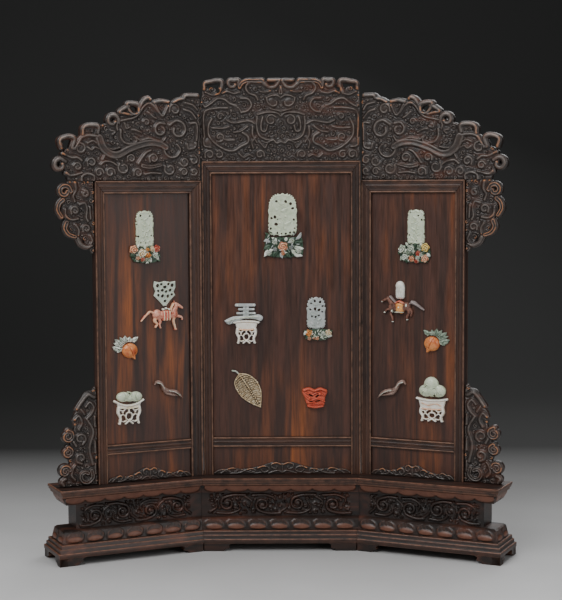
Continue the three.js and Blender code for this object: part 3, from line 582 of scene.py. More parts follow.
CORAL = stone("coral", (0.46, 0.045, 0.020), (0.62, 0.12, 0.06), (0.14, 0.010, 0.006), 0.3, 0.1)
PINK = stone("pink_stone", (0.50, 0.10, 0.055), (0.84, 0.46, 0.33), (0.22, 0.03, 0.015), 0.24, 0.15)
SALMON = stone("salmon_bloom", (0.78, 0.32, 0.17), (0.90, 0.62, 0.42), (0.42, 0.10, 0.04), 0.3, 0.2)
CREAM = stone("cream_bloom", (0.82, 0.68, 0.42), (0.92, 0.86, 0.68), (0.55, 0.30, 0.10), 0.3, 0.2)
ORANGE = stone("orange_bloom", (0.72, 0.22, 0.04), (0.88, 0.48, 0.16), (0.35, 0.07, 0.015), 0.3, 0.2)
RED = stone("red_bloom", (0.55, 0.05, 0.03), (0.78, 0.30, 0.20), (0.2, 0.015, 0.01), 0.3, 0.15)
WHITE = stone("white_bloom", (0.58, 0.64, 0.52), (0.90, 0.92, 0.84), (0.14, 0.20, 0.13), 0.3, 0.2)
YELLOW = stone("yellow_bloom", (0.75, 0.55, 0.12), (0.88, 0.76, 0.35), (0.42, 0.22, 0.03), 0.3, 0.2)
DARK_STONE = stone("dark_stone", (0.055, 0.020, 0.015), (0.26, 0.12, 0.085), (0.018, 0.009, 0.008),
                   0.22, 0.05)
MANE = stone("mane_stone", (0.16, 0.12, 0.115), (0.30, 0.25, 0.24), (0.05, 0.035, 0.03), 0.3, 0.05)
ENAMEL = stone("leaf_enamel", (0.035, 0.075, 0.045), (0.40, 0.48, 0.38), (0.02, 0.04, 0.025), 0.25, 0.05, 240)
PEARL = stone("pearl", (0.12, 0.06, 0.045), (0.36, 0.25, 0.21), (0.10, 0.045, 0.03), 0.2, 0.1, 150)

# metals: bright, dull, and how rough
GILT = metal("gilt_metal", (0.86, 0.72, 0.50), (0.46, 0.32, 0.17), 0.34)
SILVER = metal("silver_metal", (0.86, 0.88, 0.80), (0.38, 0.44, 0.36), 0.34)


# Carved scrollwork: ridges and curls, their places in mm from the foot of the piece

def ridge(width, *points):
    """A carved ridge through the points, thinner towards the last."""
    return points, width, 0.75 * width


def coil(width, x, z, size, start, way=1):
    """A curl that starts at an angle in degrees and winds in round (x, z), clockwise where way is -1."""
    path = []
    for share in np.linspace(0, 1, 8):
        angle = math.radians(start + way * 350 * share)
        reach = size * (1 - 0.55 * share)
        path.append((x + reach * math.cos(angle), z + reach * math.sin(angle)))
    return path, width, 0.9 * width


def both(strokes):
    """The strokes and their mirror images about the middle."""
    return strokes + [([(-x, z) for x, z in path], start, end) for path, start, end in strokes]


MASK_AND_DRAGONS = both([
    # mask
    ridge(1.1, (0, 78), (5, 81), (12, 80.5), (17.5, 78)),
    ridge(1.3, (17.5, 78), (16, 72), (11, 68), (6, 69), (5, 73)),
    ridge(1.0, (0, 61), (13, 64.5)),
    ridge(1.3, (0, 55.5), (6, 59.5), (18, 60), (29, 57)),
    coil(1.2, 12, 50.5, 7, 150, -1),
    ridge(1.3, (22.5, 54), (24.5, 46), (24, 38), (19, 37), (16.5, 44)),
    ridge(1.4, (29.5, 54.5), (30, 42.5), (27, 32), (20, 27), (11, 25)),
    ridge(1.2, (0, 24), (5, 22), (10, 26), (16.5, 23), (22, 23.5)),
    ridge(1.1, (26, 23), (20, 16.5), (17, 21.5)),
    ridge(1.2, (0, 91), (1.5, 83), (-1.5, 83)),
    ridge(1.0, (13, 86.5), (18.5, 85), (25.5, 85.5)),
    # crown
    ridge(1.9, (25, 102.5), (19.5, 94.5), (14, 91), (7, 92), (2.5, 98), (3, 103), (14, 104.5), (14, 100)),
    ridge(2.4, (23.5, 99.5), (27, 103.5), (34, 105), (42, 101.5), (48, 96), (51, 91)),
    ridge(1.5, (30, 97), (36, 98), (42, 94), (43, 89), (39, 83.5), (31.5, 80.5), (28.5, 75.5)),
    coil(1.9, 59.5, 96, 8, 200, -1),
    ridge(2.0, (77, 85), (73.5, 92), (74, 98), (79, 101), (86, 98), (94, 96), (100, 89)),
    ridge(1.2, (51, 85), (58.5, 83.5), (66.5, 86), (72.5, 83.5)),
    ridge(1.2, (77, 83.5), (84.5, 81.5), (93.5, 85)),
    # dragon
    ridge(1.4, (49.5, 77.5), (40.5, 76.5), (36.5, 69), (41.5, 62), (49, 60)),
    ridge(1.1, (58.5, 68.5), (52.5, 65.5), (49.5, 61)),
    ridge(1.4, (55.5, 68.5), (63, 71), (70, 76), (78.5, 77), (86, 71.5), (93.5, 67), (99.5, 68.5)),
    ridge(1.3, (66.5, 65.5), (78.5, 65.5), (92, 63), (98.5, 56), (98.5, 42.5), (95, 29)),
    ridge(1.6, (47.5, 35), (41, 30), (41, 23), (50, 18), (58, 13), (66, 13), (75, 17), (84, 24), (89.5, 32),
          (90, 43), (86, 52)),
    ridge(1.1, (31.5, 45.5), (40.5, 49.5), (58, 47), (66.5, 50)),
    ridge(1.1, (41.5, 42.5), (49.5, 37), (58.5, 35.5)),
    ridge(1.1, (58, 26), (68, 26), (72.5, 29)),
    coil(1.2, 76, 29.5, 5.5, 285, -1),
    coil(1.1, 75, 55, 4, 160, -1),
    ridge(1.1, (64.5, 42.5), (72.5, 40.5), (86, 41)),
    # foot
    ridge(1.3, (35, 42.5), (35, 32), (30, 23)),
    ridge(1.2, (31.5, 29), (36, 23), (34.5, 16)),
    coil(1.2, 89, 8, 6, 330, 1),
    coil(1.2, 77, 8, 5, 60, 1),
    ridge(1.1, (52, 9), (46.5, 4.5), (40, 7.5), (35, 5.5)),
    coil(1.2, 26, 8, 5.5, 200, -1),
    ridge(1.2, (98, 28), (95, 19), (87, 17)),
])

WING_SCROLLS = [
    # upper edge
    ridge(1.8, (-1, 105.5), (14.5, 105.5), (18, 100.5), (25, 99), (32, 95.5)),
    ridge(1.9, (56, 95), (48, 97), (38.5, 96)),
    ridge(1.9, (75.5, 88.5), (70.5, 97), (65, 100.5), (62, 99)),
    ridge(1.9, (76.5, 82), (76.5, 91), (83, 93.5), (91, 93), (89.5, 86.5), (84, 80.5), (77, 82)),
    ridge(1.7, (89.5, 90), (95, 87.5), (101, 83), (95, 81.5), (85.5, 79.5)),
    coil(1.9, 110, 72.5, 8, 200, -1),
    ridge(2.0, (129, 57.5), (128, 63.5), (131, 66.5), (141, 66.5), (147, 63), (148, 55.5)),
    ridge(1.7, (129, 53.5), (141.5, 54.5), (149.5, 51.5), (153.5, 45.5), (158, 39)),
    ridge(2.0, (158, 38.5), (161, 40), (158.5, 50), (165, 53), (174, 50.5), (176.5, 46.5), (174.5, 39.5)),
    coil(2.0, 177, 19, 8, 150, -1),
    ridge(1.7, (150.5, -2.5), (149.5, 5.5), (142, 8.5), (134.5, 5.5), (135.5, -2.5)),
    # dragon
    ridge(4.4, (127.5, 51), (123, 40), (114, 32.5), (103.5, 31.5), (89.5, 38.5), (77, 43), (63.5, 46),
          (50, 44.5), (42.5, 40.5)),
    ridge(1.1, (124.5, 48.5), (120, 41.5), (111, 38), (101.5, 40)),
    ridge(1.4, (45.5, 41.5), (42.5, 33), (36, 28.5), (28, 30), (23, 37.5), (26.5, 43.5)),
    ridge(1.5, (50.5, 82.5), (57, 91), (63.5, 94), (70, 90.5), (81, 77.5), (101, 72), (105, 67),
          (104.5, 61.5)),
    ridge(1.5, (55, 92), (50.5, 83.5), (45, 79.5), (38.5, 91.5)),
    ridge(1.3, (100, 61), (100, 52), (94.5, 45.5), (85.5, 44.5), (80, 48), (81.5, 53)),
    ridge(1.3, (80, 52), (75, 49), (64, 51.5), (55, 49.5), (46.5, 48), (42, 53)),
    # clouds towards the centre panel
    coil(1.4, 30, 87, 7.5, 340),
    coil(1.5, 48.5, 62, 9, 125, -1),
    coil(1.6, 26, 62, 12.5, 30),
    ridge(1.4, (14, 44.5), (12, 39), (4, 40.5), (2, 46.5)),
    ridge(1.3, (9, 70.5), (2, 70.5), (0.5, 61.5), (1.5, 49.5)),
    ridge(1.3, (16.5, 87), (8.5, 84), (2, 76.5)),
    ridge(1.3, (16, 95.5), (6.5, 93), (0, 87)),
    ridge(1.2, (64, 83), (59, 78.5), (54.5, 76)),
    coil(1.2, 67, 71, 4, 10),
    # clouds along the foot
    coil(1.1, 5.5, 25, 5.5, 60),
    coil(1.2, 5, 11, 4.5, 300, -1),
    coil(1.2, 18, 23, 6, 340, -1),
    coil(1.1, 18.5, 10.5, 5, 20),
    coil(1.3, 37, 14, 7.5, 30, -1),
    ridge(2.2, (72.5, 18), (63, 16.5), (49, 19)),
    ridge(1.3, (69.5, 8), (60, 9.5), (49, 8.5)),
    coil(1.2, 58, 27, 6.5, 320),
    ridge(1.6, (78, 21), (72.5, 29), (67.5, 34.5), (62, 37)),
    coil(1.3, 78.5, 9.5, 6, 335),
    coil(1.2, 87, 27, 5.5, 330),
    coil(1.3, 97, 15.5, 7.5, 45, -1),
    coil(1.3, 114, 10, 6, 190, -1),
    coil(1.3, 128, 10, 5.5, 185, -1),
    ridge(1.4, (126, 19.5), (120.5, 23.5), (111, 22), (105, 18)),
    coil(1.4, 137.5, 22, 6, 320),
    coil(1.3, 155, 17, 5, 15),
    ridge(1.5, (169, 9.5), (163, 6.5), (149.5, 9.5)),
    # tail
    ridge(1.2, (141.5, 40), (137, 37.5), (133, 40.5), (128, 38.5)),
    coil(1.4, 151.5, 39, 6.5, 90),
    ridge(1.5, (150, 24.5), (155.5, 28), (163, 28), (173, 32.5)),
    ridge(1.2, (142, 45.5), (135.5, 48), (131, 45.5)),
    ridge(1.2, (120.5, 31.5), (123.5, 25.5)),
    ridge(1.2, (105, 25.5), (111, 28.5)),
    ridge(1.2, (112, 60.5), (107.5, 59), (110.5, 56)),
    ridge(1.2, (86, 62), (80, 61), (73.5, 58)),
    ridge(1.2, (95, 69.5), (93, 63.5), (87.5, 65)),
]

EAR_SCROLLS = [
    coil(2.1, 37.5, -12, 7.5, 180, -1),
    coil(1.7, 12, -15, 4, 80),
    ridge(2.1, (40, -22.5), (44.5, -27), (46, -34.5), (41.5, -42.5)),
    coil(1.4, 25, -35, 5.5, 320),
    ridge(1.2, (37, -33.5), (36, -41.5), (29.5, -46), (21, -45)),
    ridge(1.5, (19, -27.5), (12.5, -26.5), (10, -33.5), (11, -43), (9, -48)),
    coil(1.4, 11, -57, 5, 325),
    ridge(2.1, (35.5, -49.5), (37.5, -56.5), (33, -63.5), (25.5, -66.5)),
    ridge(1.7, (21.5, -69), (17.5, -76), (10.5, -79.5), (4.5, -77.5)),
    ridge(1.3, (24, -52.5), (20.5, -58.5), (21, -65)),
    ridge(1.6, (24.5, -1.5), (23.5, -10.5), (27, -17.5), (25, -24)),
    ridge(1.3, (6.5, -31), (5.5, -45.5)),
    ridge(1.3, (6, -66), (3, -71.5), (6, -76)),
]

SPANDREL_SCROLLS = [
    ridge(1.9, (4, 108), (12, 111), (20, 103), (26, 95)),
    coil(2.0, 38, 62, 6.5, 90),
    coil(2.0, 38.5, 42.5, 5.5, 100),
    coil(2.0, 42, 19.5, 6, 170, -1),
    ridge(1.8, (42, 10), (46, 7), (44, 2)),
    coil(2.0, 16, 11.5, 9.5, 140),
    coil(1.6, 22, 34, 6.5, 265),
    ridge(1.8, (7, 26), (11, 46), (6, 66), (14, 82)),
    ridge(1.5, (14, 82), (8, 88), (5, 96), (10, 102), (15, 97)),
    coil(1.5, 22, 58, 7, 250, -1),
    ridge(1.6, (28, 50), (31, 55)),
    ridge(1.6, (24, 70), (20, 78), (24, 86), (29, 82)),
    ridge(1.4, (17, 88), (21, 94)),
    ridge(1.5, (30, 8), (34, 14), (32, 22), (29, 26)),
    ridge(1.4, (4, 14), (3.5, 26)),
    ridge(1.3, (3, 40), (4, 54)),
    ridge(1.3, (3, 72), (4, 84)),
]


# Frames: on the inner side each wing's frame laps over the gap to the centre panel

LAP = {"left": 4.2, "center": 0.0, "right": 1.4}
PANEL_FOOT = BASE_TOP + SEAM


def sides_of(panel):
    """The left and right edge of a panel."""
    return (-HALF, HALF) if panel == "center" else (0, WING)


def stile(panel, node, x0, top, inner):
    """An upright, its top cut on the mitre line that falls away from the panel's edge."""
    lap = LAP[panel] if inner else 0
    profile = [(a - lap * (1 - a / STILE), d, e) for a, d, e in frame_profile(STILE, 0.0, 15.0)]

    def place(a, d, s):
        share = (a + lap) / (STILE + lap)
        fall = TOP_RAIL * (share if inner else 1 - share) + SEAM
        return x0 + a, d, PANEL_FOOT + s * (top - fall - PANEL_FOOT)

    shell = bar(profile, 0, 1, place)
    emit("framed_" + node + panel, panel, [shell], [FRAME[panel]], [node + panel])


def top_rail(panel, left, right, top):
    """The rail under the crest, mitred into both stiles."""
    def place(a, d, s):
        share = a / TOP_RAIL
        start = left + STILE + SEAM - (STILE + LAP[panel]) * share
        end = right - STILE - SEAM + STILE * share
        return start + s * (end - start), d, top - TOP_RAIL + a

    shell = bar(frame_profile(TOP_RAIL, 0.0, 15.0), 0, 1, place)
    emit("framed_top_rail_" + panel, panel, [shell], [RAIL[panel]], ["top_rail_" + panel])


def middle_rail(panel, left, right):
    low, high = MIDDLE_RAIL
    profile = frame_profile(high - low, 0.4, 14.6)
    shell = bar(profile, left + STILE + SEAM, right - STILE - SEAM, lambda a, d, s: (s, d, low + a))
    emit("framed_middle_rail_" + panel, panel, [shell], [RAIL[panel]], ["middle_rail_" + panel])


for panel in PANELS:
    left, right = sides_of(panel)
    top = CENTER_TOP if panel == "center" else WING_TOP
    stile(panel, "stile_inner_", left, top, True)
    stile(panel, "stile_outer_", right - STILE, top, False)
    middle_rail(panel, left, right)
    top_rail(panel, left, right, top)
    for node in ("board_", "lower_board_"):
        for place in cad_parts[node + panel].material_slots:
            place.material = BOARD[panel]


# Aprons: a wavy edge of leafy scrolls over the foot of each panel

APRON_EDGE = [(-1, 3), (-0.86, 6.5), (-0.72, 8.5), (-0.6, 6.5), (-0.45, 8), (-0.3, 11), (-0.15, 15.5),
              (-0.05, 14), (0, 14.5)]


def apron_shapes(middle, half):
    """Half the edge and half the scrolls are given as (share of the half width, height), and mirrored."""
    rise = APRON_EDGE + [(-a, h) for a, h in APRON_EDGE[-2::-1]]
    outline = [(middle - half, PANEL_FOOT)]
    outline += [(middle + half * a, PANEL_FOOT + h) for a, h in rise]
    outline += [(middle + half, PANEL_FOOT)]
    shapes = [area(outline, 0.4, 1.2)]
    for side in (-1, 1):
        def scroll(start, end, crown, *path):
            return line([(middle + side * half * a, PANEL_FOOT + h) for a, h in path], start, end, crown)

        def boss(share, height, radius):
            return oval(middle + side * half * share, PANEL_FOOT + height, radius, radius, radius)

        shapes += [
            scroll(1.0, 0.8, 1.3, (0.99, 2), (0.93, 5), (0.84, 6.2), (0.76, 3.4)),
            scroll(1.1, 0.8, 1.4, (0.9, 1.6), (0.8, 6.5), (0.71, 8), (0.66, 4.8), (0.7, 3.4)),
            scroll(1.1, 0.8, 1.4, (0.76, 1.2), (0.62, 2.2), (0.5, 6.6), (0.42, 6.8), (0.4, 3.8), (0.45, 3)),
            scroll(0.9, 0.8, 1.2, (0.6, 6.2), (0.52, 3.4), (0.4, 1.6), (0.3, 2.6)),
            scroll(1.1, 0.8, 1.5, (0.36, 8), (0.28, 10.4), (0.21, 8.6), (0.2, 4.6), (0.27, 2.8), (0.31, 5.6)),
            scroll(1.1, 0.8, 1.5, (0.02, 12.6), (0.09, 14.6), (0.16, 12.4), (0.15, 8.4), (0.09, 7.4),
                   (0.08, 10)),
            scroll(1.0, 0.8, 1.3, (0.0, 2), (0.06, 4.6), (0.13, 3.4), (0.2, 1.4)),
            boss(0.47, 4.6, 1.5),
            boss(0.83, 3.6, 1.2),
        ]
    return shapes + [line([(middle, PANEL_FOOT + 2), (middle, PANEL_FOOT + 13)], 1.3, 1.0, 1.4)]


for panel in PANELS:
    left, right = sides_of(panel)
    half = (right - left) / 2 - STILE - 2 * SEAM
    shell = relief(apron_shapes((left + right) / 2, half), 2.3, FACE, 0.55, low=PANEL_FOOT, tall=3.0)
    emit("scrolled_apron_" + panel, panel, [shell], [CARVED[panel]], ["apron_" + panel])


# Crests and side pieces

SHOULDER = 1.6   # how far the soft shoulder reaches past a ridge
CARVED_HIGH = 4.0


def carved(strokes, x, z, reach, top=900, fat=1.25):
    """The strokes as ridges from (x, z), each with a soft shoulder, and with a boss in a small curl."""
    made = []
    for points, start, end in strokes:
        start, end = start * fat, end * fat
        wide = start + SHOULDER
        path = []
        for a, b in points:
            path.append((min(max(a, reach[0] + wide), reach[1] - wide) + x, min(b, top - wide) + z))
        made.append(line(path, wide, end + 1.3, CARVED_HIGH * 0.42))
        crown = CARVED_HIGH * min(1, 0.62 + start * 0.14)
        made.append(line(path, start, end, crown, "band" if start > 2.6 else "round"))
        low, high = np.min(path, 0), np.max(path, 0)
        span, middle = high - low + start, (high + low) / 2
        if span.max() < 15 and span.min() > 0.5 * span.max():
            made.append(oval(*middle, *span / 2, CARVED_HIGH * 0.5))
    return made


def curls(shapes, step=2.0):
    """Small curls on the ground wherever the strokes leave it bare."""
    ground, strokes = shapes[0], shapes[1:]
    lo, hi = ground[:2]
    x, z = np.meshgrid(np.arange(lo[0], hi[0], step), np.arange(lo[1], hi[1], step))
    room = np.minimum(raised(x, z, strokes)[0], -ground[2](x, z)[0] + 0.5)
    chance = np.random.default_rng(5)
    made = []
    while room.max() > 1.7:
        j, i = np.unravel_index(room.argmax(), room.shape)
        radius = min(room[j, i] - 0.2, 3.6)
        turn, way = chance.uniform(0, 6.3), chance.choice([-1, 1])
        path = []
        for t in np.linspace(0, 1, 9):
            a, r = turn + way * 6.4 * t, (radius - 0.7) * (1 - 0.8 * t)
            path.append((x[j, i] + r * math.cos(a), z[j, i] + r * math.sin(a)))
        made.append(line(path, 0.85, 0.7, 2.3, per=3))
        made.append(oval(x[j, i], z[j, i], radius, radius, 1.0))
        room = np.minimum(room, np.hypot(x - x[j, i], z - z[j, i]) - radius - 0.3)
    return made


def carving(name, panel, shapes, ground, back, step, cuts, low=None):
    """A carved piece that takes the place of the node of the same name."""
    shell = relief(shapes + curls(shapes), ground, back, step, cuts, low=low, echo=0.9)
    emit("carved_" + name + "_" + panel, panel, [shell], [CARVED[panel]], [name + "_" + panel])


def moved(points, x, z):
    return [(a + x, b + z) for a, b in points]


# outlines from the foot of a crest or spandrel, or from the top of an ear
CENTER_SIDE = [(98, 0), (98, 82), (93, 88), (84, 92), (76, 85), (66, 91), (56, 94), (50, 91), (44, 97),
               (36, 101), (28, 99), (20, 92), (13, 89), (6, 92)]
WING_GROUND = [(17, 107), (23, 102), (33, 97), (37, 92), (39, 96.5), (56, 96.5), (60, 92), (66, 95), (74, 90),
               (84, 84), (97, 80), (108, 73), (126, 67), (147, 67), (151, 50), (159, 42), (170, 38),
               (175, 26), (170, 12), (167, 0)]
EDGE = 0.6   # ears and spandrels start so far from the frame
EAR_GROUND = [(EDGE, 0), (33, 0), (29, -10), (35, -17), (40, -26), (41, -38), (34, -46), (33, -58), (26, -66),
              (16, -70), (9, -80), (EDGE, -82)]
SPANDREL_GROUND = [(EDGE, 0), (42, 0), (46, 8), (42, 20), (36, 28), (40, 38), (34, 48), (37, 60), (30, 70),
                   (31, 84), (25, 96), (18, 112), (8, 116), (EDGE, 111)]
FAR = 900   # past every piece

foot = CENTER_TOP + SEAM
outline = CENTER_SIDE + [(-x, z) for x, z in reversed(CENTER_SIDE)]
shapes = [area(moved(outline, 0, foot), 0.5, 1.5, rounded=True)]
shapes += carved(MASK_AND_DRAGONS, 0, foot, (-HALF, HALF), 103.4)
holes = [oval(71.5, foot + 88.5, 2.2, 2.6), oval(-78, foot + 87, 2.6, 3.0)]
carving("crest", "center", shapes, 3.0, 10.0, 0.62, holes, foot)

for panel in ("left", "right"):
    foot = WING_TOP + SEAM
    inner = SEAM - LAP[panel]
    outline = [(inner, 0), (inner, 106)] + WING_GROUND
    shapes = [area(moved(outline, 0, foot), 0.5, 1.5)]
    shapes += carved(WING_SCROLLS, 0, foot, (inner, 190), 108)
    beside = area([(-50, foot - 5), (inner, foot - 5), (inner, FAR), (-50, FAR)])
    carving("crest", panel, shapes, 3.0, 10.0, 0.62, [oval(81, foot + 86.5, 2.6, 2.8), beside], foot)

    beside = area([(0, 0), (WING + EDGE, 0), (WING + EDGE, FAR), (0, FAR)])
    top = WING_TOP - SEAM
    above = area([(0, top), (300, top), (300, FAR), (0, FAR)])
    shapes = [area(moved(EAR_GROUND, WING, top), 0.5, 1.5, rounded=True)]
    shapes += carved(EAR_SCROLLS, WING, top, (EDGE, 60), fat=1.35)
    carving("ear", panel, shapes, 4.0, 9.0, 0.5, [above, beside])

    shapes = [area(moved(SPANDREL_GROUND, WING, PANEL_FOOT), 0.5, 1.5, rounded=True)]
    shapes += carved(SPANDREL_SCROLLS, WING, PANEL_FOOT, (EDGE, 60), fat=1.35)
    carving("spandrel", panel, shapes, 4.0, 9.0, 0.5, [beside], PANEL_FOOT)


# Base: levels of (z, how far out from the slab's front, the same at the outer end, edge wear and painted
# highlight)

LOTUS = (25.5, 38.6)
HANGING = (71.8, 81.2)


def rows(z0, out0, z1, out1, step, end_extra=0.0):
    """Levels close together from one height to another, for a carved band."""
    count = max(2, int(round((z1 - z0) / step)))
    levels = []
    for i in range(count + 1):
        out = out0 + (out1 - out0) * i / count
        levels.append((z0 + (z1 - z0) * i / count, out, out + end_extra, 0.0))
    return levels


def steps(*points):
    """Levels of a moulding that is the same at the front and at the end."""
    return [(z, out, out, wear_and_highlight_amount) for z, out, wear_and_highlight_amount in points]


LOWER_LEVELS = steps((9.5, 3.9, 0.2), (9.9, 4.4, 0.5), (10.6, 4.5, 0.2), (14.4, 4.5, 0.3), (15.0, 4.2, 1.0),
                     (15.3, 3.5, 1.0), (15.5, 2.6, -0.4), (15.9, 2.3, 0.0), (19.4, 2.2, 0.3),
                     (20.0, 1.9, 0.9), (20.3, 1.2, 0.8), (20.5, 0.5, -0.4), (20.9, 0.2, 0.0),
                     (24.0, 0.2, 0.3), (24.7, -0.1, 0.9), (25.1, -0.8, 0.7), (25.3, -4.6, -0.6))
LOWER_LEVELS += rows(LOTUS[0], -5.2, LOTUS[1], -8.0, 0.6, 2.5)
LOWER_LEVELS += [(39.2, -9.0, -6.5, 0.2), (40.4, -10.2, -8.0, 0.0), (41.0, -12.4, -21.0, -0.4),
                 (41.2, -13.0, -22.0, -0.5)]
LOWER_LEVELS += rows(WAIST[0] + 0.1, -13.0, WAIST[1] - 0.2, -13.0, 0.65, -9.0) + [(71.5, -13.0, -22.0, -0.5)]
UPPER_LEVELS = rows(HANGING[0], -8.5, HANGING[1], -5.2, 0.55)
UPPER_LEVELS += steps((81.6, -4.2, 0.4), (81.9, -3.0, 0.6), (82.3, -2.6, 0.7), (84.4, -2.6, 0.4),
                      (84.8, -2.4, 0.9), (85.0, -1.8, -0.4), (85.3, -1.1, 0.4), (86.9, -0.9, 0.5),
                      (87.3, -0.9, 0.9), (87.5, -0.5, -0.4), (87.9, -0.1, 0.5), (88.4, 0.0, 0.4),
                      (90.2, 0.0, 0.5), (90.8, -0.2, 1.0), (91.0, -0.6, 1.0), (91.0, -1.6, 0.1))


def petals(x, start, end, count, z, low, tall, lean):
    """The height of a row of plump petals, each with a smooth core and a ribbed rim."""
    pitch = (end - start) / count
    v = (z - low) / tall
    number = np.floor((x - start + lean * v) / pitch)
    u = ((x - start + lean * v) / pitch - number - 0.5) * 2
    width = 0.93 * np.sqrt(np.clip(1 - np.clip(2 * v - 0.9, -0.9, 1.1)**2 / 1.25, 0, 1))
    r = np.abs(u) / np.maximum(width, 0.05)
    hold = (number >= 0) & (number < count) & (r < 1) & (v > 0) & (v < 1)
    rim = np.exp(-((r - 0.82) / 0.12)**2) * 0.5
    core = np.sqrt(np.clip(1 - (u / 0.72)**2 - ((v - 0.3) / 0.28)**2, 0, 1)) * 1.4
    ribs = 0.30 * np.cos(u * 17) * np.clip((v - 0.5) * 8, 0, 1)
    lift = 0.45 * np.sqrt(np.clip(1 - r**6, 0, 1)) * np.clip(v * 8, 0, 1) + rim + np.maximum(core, ribs)
    return np.where(hold, lift, 0.0)


def scallops(x, start, end, count, z, top, drop):
    """The height of a smooth hanging band with a scalloped lower edge."""
    pitch = (end - start) / count
    u = ((x - start) / pitch) % 1 * 2 - 1
    depth = 0.42 + 0.52 * np.sqrt(np.clip(1 - np.abs(u)**2.4, 0, 1))
    v = np.clip((top - z) / drop / depth, 0, 1)
    return np.where((x > start) & (x < end), 1.5 * np.sqrt(1 - v**5), 0.0)


def waist_scrolls(start, end, count):
    """A running scroll whose coils stand up and down in turn, and small curls round it."""
    pitch = (end - start) / count
    middle = 56.3
    shapes = [area([(start, WAIST[0] + 1), (end, WAIST[0] + 1), (end, WAIST[1] - 1), (start, WAIST[1] - 1)])]
    for i in range(count):
        up = 1 if i % 2 == 0 else -1

        def at(share, height):
            return start + pitch * (i + 0.5 + share), middle + up * height

        x, z = at(0, 1)
        coil = [at(0.5, 11.5), at(0.24, 12)]
        for t in np.linspace(0, 1, 12):
            turn = 2 * math.pi * (0.25 * up + up * 1.25 * t)
            reach = 9 * (1 - 0.62 * t)
            coil.append((x + reach * math.cos(turn), z + reach * math.sin(turn)))
        shapes += [line(coil, 2.1, 1.5, 3.0),
                   line([at(-0.5, -10), at(-0.3, -3), at(-0.36, 7)], 1.8, 1.1, 2.4),
                   line([at(-0.28, -11), at(0.1, -11.5), at(0.36, -6), at(0.3, 2)], 2.0, 1.1, 2.6),
                   oval(x, z, 3.2, 3.2, 3.0)]
    return shapes[1:] + curls(shapes)


def base_carving(kind):
    """Gives shift(x, z, side), the height of the carving on a base section."""
    start = SLAB_FRONT * MITRE
    half = BEND_X - start
    if kind == "center":
        lotus = 1 - half, half - 1
        hanging = 2 - half, half - 2
        waist = 8 - half, half - 8
    else:
        lotus = start + 1, SLAB_END - 5
        hanging = start + 2, SLAB_END - 7
        waist = start + 12, SLAB_END - 28
    scrolls = waist_scrolls(*waist, 4)
    end_lotus, end_hanging = (-SLAB_FRONT + 5, SLAB_DEPTH - SLAB_FRONT - 5), (-17, 25)

    def shift(x, z, side):
        row = z[0]
        if LOTUS[0] - 0.1 < row < LOTUS[1] + 0.1:
            span, count = (lotus, 7) if side == "front" else (end_lotus, 2)
            return petals(x, *span, count, z, 25.4, 13.4, 3.0)
        if HANGING[0] - 0.1 < row < HANGING[1] + 0.1:
            span, count = (hanging, 7) if side == "front" else (end_hanging, 2)
            return scallops(x, *span, count, z, 81.3, 9.4)
        lift = np.zeros(x.shape)
        if WAIST[0] < row < WAIST[1] and side == "front":
            for lo, hi, field, crown, _ in scrolls:
                if lo[1] < row < hi[1]:
                    d, f = field(x, z)
                    lift = np.maximum(lift, np.where(d < 0, crown * f, 0))
        return lift

    return shift


def bracket_foot(length, y0, y1, place):
    """A bracket foot from its corner inwards, with a curled inner end."""
    high, inner = 10.4, length + 1.5
    outline = [(0, 0.3), (0.3, 0), (length - 9, 0), (length - 7.5, 0.6), (length - 6.4, 2.4),
               (length - 4.6, 3.4), (length - 2.6, 3.2), (length - 1.2, 3.9), (length - 1.0, 5.4),
               (length - 2.2, 6.6), (length - 1.4, 8.0), (length + 1, 9.0), (inner, high), (0, high)]
    inset = [(min(max(x, 0.4), inner - 0.4), max(z, 0.4)) for x, z in outline]
    rings = [(inset, y0), (outline, y0 + 0.5), (outline, y1 - 0.5), (inset, y1)]
    points = [place(x, y, z) for ring, y in rings for x, z in ring]
    faces = tube(4, len(outline))
    # the faces get some wear and painted highlight, and the rise of 0.4 gives the feet painted shade
    wear_and_highlight_amount = [0.1 if k in (0, 3) else 0.5 for k in range(4) for _ in outline]
    return points, faces, [0] * len(faces), wear_and_highlight_amount, 0.4


PLINTH_FRONT, PLINTH_BACK, PLINTH_END = 29.5, -37.5, SLAB_END + 4.0
FOOT_DEEP = 11
COLUMNS = 170   # faces along the front of a section


def feet(kind):
    """Bracket feet at the front and back of a section, and on a wing's outer end."""
    made = []
    front, back = -PLINTH_FRONT + 0.5, -PLINTH_BACK - 11.5
    for y in (front, back):
        if kind == "center":
            start, end, lengths = SEAM - BEND_X - y * MITRE, BEND_X + y * MITRE - SEAM, (33, 33)
        else:
            start, end, lengths = PLINTH_FRONT * MITRE + SEAM, PLINTH_END, (27, 31)
        made.append(bracket_foot(lengths[0], y, y + FOOT_DEEP, lambda a, b, c, x=start: (x + a, b, c)))
        made.append(bracket_foot(lengths[1], y, y + FOOT_DEEP, lambda a, b, c, x=end: (x - a, b, c)))
    if kind == "wing":
        made.append(bracket_foot(19, 0, FOOT_DEEP, lambda a, b, c: (PLINTH_END - b, front + a, c)))
        made.append(bracket_foot(19, 0, FOOT_DEEP, lambda a, b, c: (PLINTH_END - b, back + FOOT_DEEP - a, c)))
    return made


for panel in PANELS:
    kind = "center" if panel == "center" else "wing"
    shift = base_carving(kind)
    for part, node, levels, more in (("base_lower_", "base_plinth_", LOWER_LEVELS, feet(kind)),
                                     ("base_slab_", "base_cornice_", UPPER_LEVELS, [])):
        shells = [section_rings(kind, levels, COLUMNS, shift)] + more
        emit(part + panel, panel, shells, [BASE[panel]], [node + panel], seated=False)


# Ornaments: reliefs with flat backs on the face of a board

